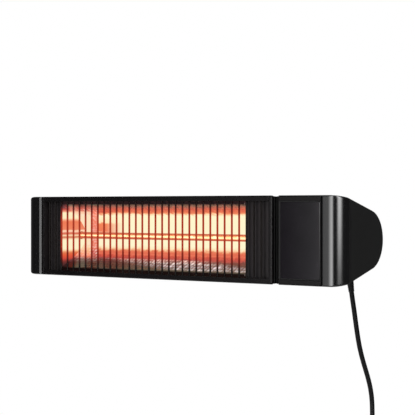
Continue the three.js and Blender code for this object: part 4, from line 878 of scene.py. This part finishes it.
def trough_point(share, offset=0.0):
    """A point of the parabola, moved out by offset; share runs from -1 to 1."""
    slope = 2 * TROUGH_DEPTH * share / MOUTH_HALF
    length = math.hypot(1, slope)
    return (
        APEX_DEPTH - TROUGH_DEPTH * share**2 + offset / length,
        MOUTH_HALF * share + offset * slope / length,
    )


def even_shares(step):
    """Shares of the parabola that lie evenly along its arc, and their arc lengths."""
    fine = [i / 500 - 1 for i in range(1001)]
    arc = [0.0]
    for a, b in zip(fine, fine[1:]):
        arc.append(arc[-1] + math.dist(trough_point(a), trough_point(b)))
    count = round(arc[-1] / step)
    even = [arc[-1] * i / count for i in range(count + 1)]
    shares, at = [], 0
    for length in even:
        while at < 999 and arc[at + 1] < length:
            at += 1
        part = (length - arc[at]) / (arc[at + 1] - arc[at])
        shares.append(fine[at] + (fine[at + 1] - fine[at]) * min(part, 1))
    return shares, even


def dish(along, across):
    """How far the sheet stands in at a place: nothing in a cell's middle, most between."""
    nearest = 3.0
    row = round(across / CELL_WIDTH)
    for near_row in (row - 1, row, row + 1):
        offset = along / CELL_LENGTH - near_row % 2 / 2
        for near_column in (round(offset) - 1, round(offset), round(offset) + 1):
            away = math.hypot(offset - near_column, across / CELL_WIDTH - near_row)
            nearest = min(nearest, away)
    return DISH * min((2 * nearest) ** 2, 1.2)


# %% The dimpled trough
shares, arcs = even_shares(MESH_STEP)
mouth_length = MOUTH_RIGHT - MOUTH_LEFT
columns, rows = round(mouth_length / MESH_STEP), len(shares) + 2
flange_tip = slant_at(MOUTH_DEPTH + 1, WALL + FIT)
points, faces = [], []
for i in range(columns + 1):
    along = mouth_length * i / columns
    line = [(MOUTH_DEPTH, -flange_tip)]
    for share, across in zip(shares, arcs):
        line.append(trough_point(share, 0 if abs(share) == 1 else -dish(along, across)))
    line.append((MOUTH_DEPTH, flange_tip))
    points += ring_at(MOUTH_LEFT + along, line)
    if i:
        for j in range(rows - 1):
            a = (i - 1) * rows + j
            faces.append((a, a + 1, a + 1 + rows, a + rows))
trough = make(
    "reflector_trough", (points, faces), "lamp_section", trough_metal,
    ["reflector"], sharp=40,
)
sheet = trough.modifiers.new("Sheet metal", "SOLIDIFY")
sheet.thickness, sheet.offset = SHEET * MM, 1
print("trough:", columns, "by", rows)

# %% [markdown]
# A flat polished wall closes each end of the trough, with a hole for the lamp. Each is a
# parabola-shaped plate drawn as rings between its edge and the hole.

# %% End walls
WALL_MARGIN, END_WALL, HOLE = 2.5, 1, 7
front = MOUTH_DEPTH + 1 + FIT
edge = [trough_point(1 - i / 32, WALL_MARGIN) for i in range(65)]
edge = [point for point in edge if point[0] > front]
top = edge[0][1]
edge += [(front, -top * (1 - i / 8)) for i in range(17)]
hole = []
for depth, height in edge:
    angle = math.atan2(height, depth - LAMP_DEPTH)
    hole.append((LAMP_DEPTH + HOLE * math.cos(angle), HOLE * math.sin(angle)))
for name, inner, side in (("left", MOUTH_LEFT - FIT, -1), ("right", MOUTH_RIGHT + FIT, 1)):
    outer = inner + side * END_WALL
    rings = [
        ring_at(x, outline)
        for x, outline in ((inner, edge), (inner, hole), (outer, hole), (outer, edge))
    ]
    make(
        "end_wall_" + name, loft(rings, loop=True), "lamp_section",
        end_metal, ["reflector_end_" + name],
    )

# %% [markdown]
# Beside the trough's mouth a plain folded plate hides each lamp holder. It is steel with
# a graphite lacquer. The one by the head is longer, because the lamp's leads loop behind
# it. The edge at the mouth is folded back round a small radius, and the other edge has a
# thin flange that stands forwards beside the stile.

# %% Folded end covers
FOLD, FLANGE_DEPTH, FLANGE_THICK = 0.5, 1.2, 0.6
FLANGE_HALF = 57  # clear of the guard's rails


def upright(outline, half):
    """An outline of (x, depth) pairs drawn out upwards and downwards from the middle."""
    return loft([
        [spot(x, depth, height) for x, depth in outline] for height in (-half, half)
    ])


for name, mouth, far in (
    ("left", MOUTH_LEFT - FIT, SHELL_LEFT), ("right", MOUTH_RIGHT + FIT, SHELL_RIGHT)
):
    side = 1 if far > mouth else -1
    fold = [
        (mouth + side * FOLD * (1 - math.cos(t)), MOUTH_DEPTH + FOLD * (1 - math.sin(t)))
        for t in (math.pi / 8 * i for i in range(5))
    ]
    plate = [(mouth, MOUTH_DEPTH + 1), *fold, (far, MOUTH_DEPTH), (far, MOUTH_DEPTH + 1)]
    inner = far - side * FLANGE_THICK
    flange = [
        (far, FLANGE_DEPTH), (far, MOUTH_DEPTH), (inner, MOUTH_DEPTH), (inner, FLANGE_DEPTH)
    ]
    make(
        "cover_" + name, join(upright(plate, flange_tip), upright(flange, FLANGE_HALF)),
        "lamp_section", coats["Graphite heat-proof lacquer"],
        ["end_cover_" + name], sharp=30,
    )

# %% [markdown]
# ## The lamp
# A clear quartz tube holds a coil of tungsten wire at some 2000 degrees. The coil glows
# cream, and the quartz round it looks orange to red at its edges, where one looks
# through most of it. Tungsten gets a plain emission; the quartz is mostly see-through
# with a red glow that grows towards its edges, which Layer Weight gives.

# %% Quartz and tungsten
QUARTZ_IOR = 1.46
quartz, tree, shader, _ = new_material(
    "Clear quartz, glowing", "#FFD9B8", 0.06, IOR=QUARTZ_IOR
)
facing = node(tree, "LayerWeight", {"Blend": 0.5}).outputs["Facing"]
halo = node(
    tree, "ValToRGB", {"Fac": facing},
    stops=[(0.235, "#FFDCB0"), (0.275, "#EA8A60"), (0.32, "#D65C42"), (0.6, "#CA5440")],
)
glow = node(tree, "Emission", {"Color": halo, "Strength": 0.9})
clear = node(tree, "BsdfTransparent", {"Color": "#FFF0E0"})
body = node(
    tree, "MapRange",
    {"Value": facing, "From Min": 0.25, "From Max": 0.33, "To Min": 0.05, "To Max": 0.95},
)
inside = node(tree, "MixShader", {0: body, 1: clear, 2: glow})
skin = node(tree, "Fresnel", {"IOR": QUARTZ_IOR})
tube = node(tree, "MixShader", {0: skin, 1: inside, 2: shader})
feed(tree.nodes["Material Output"], {"Surface": tube})

tungsten, tree, shader, place = new_material(
    "White-hot tungsten", "#8A8078", 0.4, Metallic=1.0, Emission_Strength=2.0
)
flicker = node(tree, "TexNoise", {"Vector": place, "Scale": per_mm(14), "Detail": 1.0})
heat = node(tree, "ValToRGB", {"Fac": flicker}, stops=[(0.3, "#FFE0B4"), (0.7, "#FFF4E0")])
feed(shader, {"Emission Color": heat})

# %% Quartz tube
LAMP_RADIUS, QUARTZ_WALL, FIRE_POLISH = 5.5, 1, 0.8
tube_half = mouth_length / 2 + 5
axis_start = spot(MOUTH_MIDDLE - tube_half, LAMP_DEPTH, 0)
tip, bore = LAMP_RADIUS - FIRE_POLISH, LAMP_RADIUS - QUARTZ_WALL
profile = [(0, tip), (0.3, LAMP_RADIUS), (2 * tube_half - 0.3, LAMP_RADIUS)]
profile += [(2 * tube_half, tip), (2 * tube_half, bore), (0, bore)]
make(
    "quartz_tube", turned(axis_start, (1, 0, 0), profile, 40, loop=True), "lamp_section",
    quartz, ["lamp_tube"], sharp=50,
)

# %% [markdown]
# The filament is a long helix. Its real pitch is under a millimetre, which would only
# look like a rod, so it is wound at 2.2 mm. Small discs keep it in the tube's middle.

# %% Filament
HELIX_PITCH, HELIX_RADIUS, HELIX_WIRE = 2.2, 1.35, 0.45
HELIX_STEPS, WIRE_SIDES, DISCS, DISC_RADIUS = 12, 5, 9, 4.0
LEAD_IN, LEAD_IN_RADIUS = 6.2, 0.6  # the plain wire between the coil and the tube's end
SAG = 0.6  # the hot coil hangs a little below the tube's middle
glow_half = tube_half - LEAD_IN
rings = []
for i in range(round(2 * glow_half / HELIX_PITCH * HELIX_STEPS) + 1):
    angle = 2 * math.pi * i / HELIX_STEPS
    along = i * HELIX_PITCH / HELIX_STEPS
    middle = spot(MOUTH_MIDDLE - glow_half + along, LAMP_DEPTH, -SAG)
    radial = Vector((0, math.cos(angle), math.sin(angle)))
    ring = []
    for k in range(WIRE_SIDES):
        turn = 2 * math.pi * k / WIRE_SIDES
        out = radial * (HELIX_RADIUS + HELIX_WIRE * math.cos(turn))
        ring.append(middle + out + Vector((HELIX_WIRE * math.sin(turn), 0, 0)))
    rings.append(ring)
shapes = [loft(rings)]
for i in range(DISCS):
    middle = spot(MOUTH_MIDDLE + (2 * i / (DISCS - 1) - 1) * glow_half, LAMP_DEPTH, 0)
    shapes.append(turned(middle, (1, 0, 0), [(-0.5, DISC_RADIUS), (0.5, DISC_RADIUS)], 24))
for side in (-1, 1):
    start = spot(MOUTH_MIDDLE + side * glow_half, LAMP_DEPTH, 0)
    profile = [(0, LEAD_IN_RADIUS), (tube_half - glow_half, LEAD_IN_RADIUS)]
    shapes.append(turned(start, (side, 0, 0), profile, 12))
make(
    "filament_coil", join(*shapes), "lamp_section", tungsten, ["lamp_filament"],
    sharp=60,
)

# %% [markdown]
# ## The guard
# Thirty-three steel wires stand upright in front of the mouth, welded to two rails that
# lie behind the lips. They are coated with dark heat-proof enamel. In front of the glow
# they show a dull red, which is a painted glow: an emission colour by height that stands
# in for the lamp's light on them.

# %% Heat-proof enamel with a painted red glow
enamel, tree, shader, place = new_material(
    "Dark heat-proof enamel on wire, painted red glow", "#0A0706", 0.4, IOR=1.5, Specular_IOR_Level=0.06
)
parts = node(tree, "SeparateXYZ", {"Vector": place})
# The painted red glow, by height across the mouth, laid on as emission.
warm = node(
    tree, "ValToRGB", {"Fac": mouth_share(tree, parts)},
    stops=[(0.05, "#000000"), (0.12, "#3A0400"), (0.18, "#6E0C04"), (0.27, "#801A08"),
           (0.32, "#A42C10"), (0.78, "#A42C10"), (0.84, "#841A06"), (0.92, "#600804"),
           (0.98, "#100000")],
)
from_middle = node(
    tree, "Math", {0: parts.outputs["X"], 1: -MOUTH_MIDDLE * MM}, operation="ADD"
)
aside = node(tree, "Math", {0: from_middle}, operation="ABSOLUTE")
# The painted glow fades out just past the mouth's ends.
FADE_START, FADE_END = 0.3, 1.8  # how far past the mouth a wire loses its glow, in mm
before_mouth = node(
    tree, "MapRange",
    {"Value": aside, "From Min": (mouth_length / 2 + FADE_START) * MM,
     "From Max": (mouth_length / 2 + FADE_END) * MM, "To Min": 1.0, "To Max": 0.0},
)
speck = node(tree, "TexNoise", {"Vector": place, "Scale": per_mm(1.6), "Detail": 2.0})
gloss = node(tree, "MapRange", {"Value": speck, "To Min": 0.32, "To Max": 0.52})
relief = node(tree, "Bump", {"Height": speck, "Distance": 0.03 * MM, "Strength": 0.5})
feed(shader, {
    "Emission Color": warm, "Emission Strength": before_mouth, "Roughness": gloss,
    "Normal": relief,
})

# %% Wires and rails
WIRE, RAIL, WIRE_DEPTH, WIRE_PITCH, WELD = 3, 3.4, 5.5, 12.93, 0.4
WIRES, FIRST_WIRE = 33, LAMP_LEFT + 14.8
wire_end = slant_at(WIRE_DEPTH + WIRE / 2, WALL + FIT)
rail_depth = WIRE_DEPTH + WIRE / 2 + RAIL / 2 - WELD
rail_height = slant_at(rail_depth, WALL + FIT + RAIL / 2)


def rod(start, direction, length, thick):
    """A round rod with its ends broken by 0.4 mm."""
    radius, tip = thick / 2, thick / 2 - 0.4
    profile = [(0, tip), (0.4, radius), (length - 0.4, radius), (length, tip)]
    return turned(start, direction, profile, 16)


shapes = []
for i in range(WIRES):
    foot = spot(FIRST_WIRE + i * WIRE_PITCH, WIRE_DEPTH, -wire_end)
    shapes.append(rod(foot, (0, 0, 1), 2 * wire_end, WIRE))
for side in (-1, 1):
    start = spot(SHELL_LEFT, rail_depth, side * rail_height)
    shapes.append(rod(start, (1, 0, 0), SHELL_RIGHT - SHELL_LEFT, RAIL))
make(
    "wire_guard", join(*shapes), "lamp_section", enamel,
    ["guard_1", "guard_2", "guard_3"], sharp=50,
)

# %% [markdown]
# ## The control head's glass
# A 3 mm pane of smoked glass, so dark that it reads as black with a breath of purple. Its
# front edge is ground to a narrow bevel. It is float glass, so the surface is flat and
# only a fine haze breaks the mirror.

# %% Smoked glass
smoked, tree, shader, place = new_material("Smoked float glass", "#0F0B11", 0.05, IOR=1.52)
haze = node(tree, "TexNoise", {"Vector": place, "Scale": per_mm(30), "Detail": 3.0})
gloss = node(tree, "MapRange", {"Value": haze, "To Min": 0.03, "To Max": 0.07})
tint = node(tree, "ValToRGB", {"Fac": haze}, stops=[(0.3, "#0E0A10"), (0.7, "#130F15")])
feed(shader, {"Base Color": tint, "Roughness": gloss})
GLASS_LEFT, GLASS_RIGHT = HEAD_LEFT + 3.6, HEAD_RIGHT - 1.5
GLASS_BEVEL = ((0.3, 0.2), (0.4, 0.06), (0.6, 0), (3.3, 0))  # depth, and how much less
glass_width, glass_height = GLASS_RIGHT - GLASS_LEFT, 2 * (OPENING_HALF - 1.5)
rings = []
for depth, less in GLASS_BEVEL:
    ring = rounded(glass_width - 2 * less, glass_height - 2 * less, 1.2)
    rings.append([spot((GLASS_LEFT + GLASS_RIGHT) / 2 + x, depth, z) for x, z in ring])
make(
    "glass_pane", loft(rings), "head_and_bracket", smoked,
    ["control_glass"], sharp=20,
)

# %% [markdown]
# ## The tilt knob
# A six-lobed hand grip at the far end clamps the bracket's arm. Its outline swings in
# and out six times; a dished middle and rounded rims make it a moulded knob.

# %% Knob
LOBES, LOBE_RISE, GRIP_LENGTH = 6, 0.105, 9.95
WASHER, ARM, KNOB_REACH = 1, 3, 10.3


def lobed(angle, along):
    """The share of the radius that the lobes leave on the grip; the screw stays round."""
    return 1 + LOBE_RISE * math.cos(LOBES * angle) if along < GRIP_LENGTH else 1


knob_start = spot(LEFT - 2 * FIT - WASHER - ARM - KNOB_REACH, NOSE_DEPTH, 0)
profile = [
    (1.6, 4), (0.9, 6.2), (0.2, 8.6), (0, 10), (0.15, 10.9), (0.6, 11.5), (1.4, 11.75),
    (8.6, 11.75), (9.4, 11.5), (9.9, 10.9), (10.0, 10.0), (10.0, 5), (36.0, 5), (36.3, 4.6),
]
make(
    "tilt_knob", turned(knob_start, (1, 0, 0), profile, 96, lobed, across=(0, 0, 1)),
    "head_and_bracket", plastic["Moulded black nylon"], ["tilt_screw"],
    sharp=50,
)

# %% [markdown]
# ## The rocker
# A small rocker sits in the head's underside. It is hard black plastic with a dished top,
# drawn as a strip of sections along the bar in the switch's own tilted frame.

# %% Rocker
SWITCH_DEPTH, ROCKER_HALF, ROCKER_SIDE, REST_TILT = 50, 11.8, 4.2, math.radians(9)
switch_origin = spot((HEAD_LEFT + HEAD_RIGHT) / 2, SWITCH_DEPTH, -slant_at(SWITCH_DEPTH))
along_bar, across_bar = Vector((1, 0, 0)), Vector((0, -math.cos(TAPER), -math.sin(TAPER)))
pivot_point = switch_origin - OUT * 1
along_rocker = along_bar * math.cos(REST_TILT) - OUT * math.sin(REST_TILT)
out_rocker = OUT * math.cos(REST_TILT) + along_bar * math.sin(REST_TILT)
top_line = [(ROCKER_HALF * s / 8, 2.4 + 1.8 * (s / 8) ** 2) for s in range(-8, 9)]
outline = [(-ROCKER_HALF, -0.5), *top_line, (ROCKER_HALF, -0.5), (3, -3.5), (-3, -3.5)]
rings = [
    [
        pivot_point + along_rocker * x + out_rocker * z + across_bar * across
        for x, z in outline
    ]
    for across in (-ROCKER_SIDE, ROCKER_SIDE)
]
make(
    "rocker_lever", loft(rings), "rocker", plastic["Black PVC plug"],
    ["switch_rocker"], sharp=35, bevel=0.45,
)

# %% [markdown]
# ## Metals and boards of the carried-over nodes
# The remaining CAD nodes have the right shape already and get their finishes: zinc
# plated steel with its cloudy passivation, and a green circuit board.

# %% Zinc plate and circuit board
zinc, tree, shader, place = new_material("Zinc-plated steel", "#A9ABAC", 0.36, Metallic=1.0)
spangle = node(tree, "TexVoronoi", {"Vector": place, "Scale": per_mm(5)})
cloudy = node(
    tree, "ValToRGB", {"Fac": spangle},
    stops=[(0.0, "#9C9FA1"), (0.6, "#B2B1A8"), (1.0, "#A6ACB4")],
)
gloss = node(tree, "MapRange", {"Value": spangle, "To Min": 0.28, "To Max": 0.46})
feed(shader, {"Base Color": cloudy, "Roughness": gloss})

SOLDER_MASK = "#1F5A37"
board, tree, shader, place = new_material("Green solder mask", SOLDER_MASK, 0.3, IOR=1.5)
tracks = node(
    tree, "TexBrick",
    {"Vector": place, "Scale": per_mm(6), "Color1": SOLDER_MASK, "Color2": "#236440",
     "Mortar": "#3A7A50", "Mortar Size": 0.06},
)
feed(shader, {"Base Color": tracks})

# %% Finishes for the nodes that stay
black, pale = plastic["Moulded black nylon"], plastic["Natural nylon"]
dark, blue = plastic["Black PVC plug"], plastic["Blue PBT"]
ceramic = plastic["Unglazed steatite"]
STAYING = {
    "wall_bracket": coats["Matt black powder coat"], "head_saddle": black,
    "arm_washer": pale, "left_pivot_bush": pale, "terminal_block": pale,
    "pivot_tube": zinc, "pivot_nut": zinc, "friction_washer": zinc, "head_end_plate": zinc,
    "glass_frame": black, "thermal_cutout": black, "switch_body": black,
    "display": dark, "infrared_receiver": dark, "gland_nut": dark, "control_board": board,
    "power_relay_lower": blue, "power_relay_upper": blue,
    "lamp_base_left": ceramic, "lamp_base_right": ceramic,
    "lamp_holder_left": ceramic, "lamp_holder_right": ceramic,
}
for name, material in STAYING.items():
    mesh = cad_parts[name].data
    mesh.materials.clear()
    mesh.materials.append(material)
print(len(STAYING), "nodes keep their CAD shape")

# %% [markdown]
# ## Studio
# The photograph was taken between two tall soft lights, with a dark room behind the
# camera. Glossy black shows nothing but those reflections, so the room is drawn as a
# large drum that only glossy rays see: dark, with one soft light a little left of the
# bar's front and another to the right of the camera. Even area lamps of the same
# directions light the colours at a plain level.


# %% The dark room that gloss sees
def circle(radius, z, count):
    """A level ring of points in metres."""
    angles = [2 * math.pi * i / count for i in range(count)]
    return [Vector((radius * math.cos(a), radius * math.sin(a), z)) for a in angles]


def staged(name, points, faces):
    """A piece of the studio, which stays out of the object."""
    mesh = bpy.data.meshes.new(name)
    mesh.from_pydata(points, [], faces)
    thing = placed(name, mesh)
    thing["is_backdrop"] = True
    return thing


ROOM_RADIUS, ROOM_HALF_HEIGHT, ROOM_SIDES = 10.0, 18.0, 96
points, faces = loft([
    circle(ROOM_RADIUS, z, ROOM_SIDES) for z in (-ROOM_HALF_HEIGHT, ROOM_HALF_HEIGHT)
])
room = staged("studio_room", points, faces[:-2])  # without the loft's two lids
room.visible_camera = room.visible_diffuse = room.visible_shadow = False
room.visible_transmission = room.visible_volume_scatter = False

# %% Its two soft lights
LEFT_SOFTBOX = [  # azimuth in degrees from the bar's front, brightness as a share
    (-180, 0.02), (-60, 0.005), (-31, 0.008), (-29.4, 0.02), (-28, 0.055), (-26.8, 0.15),
    (-25, 0.26), (-20, 0.38), (-12, 0.68), (-6, 0.88), (0, 0.85), (4, 0.5), (8, 0.08),
    (12, 0.01),
]
RIGHT_SOFTBOX = [
    (28, 0.0), (33, 0.15), (38, 0.6), (43, 1.0), (54, 1.0), (60, 0.6), (67, 0.15),
    (73, 0.0),
]
FULL_BRIGHTNESS = 10.0
room_material = bpy.data.materials.new("Studio room")
tree = empty_tree(room_material)
place = node(tree, "TexCoord").outputs["Object"]
parts = node(tree, "SeparateXYZ", {"Vector": place})
ahead = node(tree, "Math", {0: parts.outputs["Y"], 1: -1.0}, operation="MULTIPLY")
azimuth = node(tree, "Math", {0: parts.outputs["X"], 1: ahead}, operation="ARCTAN2")
round_share = node(
    tree, "MapRange", {"Value": azimuth, "From Min": -math.pi, "From Max": math.pi}
)
left_light, right_light = (
    node(
        tree, "ValToRGB", {"Fac": round_share},
        stops=[((degrees + 180) / 360, share) for degrees, share in lights],
    )
    for lights in (LEFT_SOFTBOX, RIGHT_SOFTBOX)
)
fall_off = node(  # the right light is dimmer low down
    tree, "MapRange",
    {"Value": parts.outputs["Z"], "From Min": -0.67, "From Max": 0.15, "To Min": 0.0,
     "To Max": 1.4},
)
right_light = node(tree, "Math", {0: right_light, 1: fall_off}, operation="MULTIPLY")
lights = node(tree, "Math", {0: left_light, 1: right_light}, operation="ADD")
strength = node(tree, "Math", {0: lights, 1: FULL_BRIGHTNESS}, operation="MULTIPLY")
glow = node(tree, "Emission", {"Color": "#FFFFFF", "Strength": strength})
node(tree, "OutputMaterial", {"Surface": glow})
room.data.materials.append(room_material)

# %% Lamps
LAMP_DISTANCE, LAMP_LIFT = 3.0, 0.25
for name, angle, size, power in (
    ("Left light", -14, 2.2, 38), ("Right light", 48, 2.4, 45)
):
    lamp_data = bpy.data.lights.new(name, "AREA")
    lamp_data.shape, lamp_data.size, lamp_data.size_y = "RECTANGLE", size, size
    lamp_data.energy = power
    lamp = placed(name, lamp_data)
    way = Vector((math.sin(math.radians(angle)), -math.cos(math.radians(angle)), LAMP_LIFT))
    lamp.location = way * LAMP_DISTANCE
    lamp.rotation_euler = (-way).to_track_quat("-Z", "Y").to_euler()
    lamp.visible_camera = lamp.visible_glossy = lamp.visible_transmission = False


# %% World
def seen_rays(tree):
    """1 for what the camera, a glossy surface or clear glass sees, 0 for light."""
    rays = node(tree, "LightPath")
    seen = rays.outputs["Is Camera Ray"]
    for kind in ("Is Glossy Ray", "Is Transmission Ray"):
        seen = node(tree, "Math", {0: seen, 1: rays.outputs[kind]}, operation="MAXIMUM")
    return seen


world = bpy.data.worlds.new("White surroundings")
bpy.context.scene.world = world
tree = empty_tree(world)
strength = node(tree, "MapRange", {"Value": seen_rays(tree), "To Min": 0.3, "To Max": 1.0})
white = node(tree, "Background", {"Color": "#FFFFFF", "Strength": strength})
node(tree, "OutputWorld", {"Surface": white})

# %% [markdown]
# The floor is a pale sweep under the hanging plug. Its rim fades into the white.

# %% Floor
FLOOR_MIDDLE, FLOOR_RADIUS = Vector((0, -0.25, -0.45)), 1.1
rim = [point + FLOOR_MIDDLE for point in circle(FLOOR_RADIUS, 0, 64)]
floor = staged("pale_floor", rim, [tuple(range(len(rim)))])
floor_material, tree, shader, place = new_material("Pale studio floor", "#F2F1EE", 0.7)
from_middle = node(tree, "VectorMath", {0: place, 1: FLOOR_MIDDLE}, operation="DISTANCE")
fade = node(
    tree, "MapRange", {"Value": from_middle, "From Min": 0.75, "From Max": 1.08},
    interpolation_type="SMOOTHSTEP",
)
lift = node(tree, "Math", {0: seen_rays(tree), 1: 0.5}, operation="MULTIPLY")
white = node(tree, "Emission", {"Color": "#FFFFFF", "Strength": 1.0})
lifted = node(tree, "MixShader", {0: lift, 1: shader, 2: white})
clear = node(tree, "BsdfTransparent")
faded = node(tree, "MixShader", {0: fade, 1: lifted, 2: clear})
feed(tree.nodes["Material Output"], {"Surface": faded})
floor.data.materials.append(floor_material)

# %% [markdown]
# ## Finish
# The colours are shown as they are, and the sizes of the CAD box and of the dressed
# model are printed side by side.

# %% View and sizes
bpy.context.scene.view_settings.view_transform = "Standard"
dressed_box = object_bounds()
for name, box in (("CAD", cad_box), ("dressed", dressed_box)):
    print(name, "box, m:", [tuple(round(v, 4) for v in corner) for corner in box])
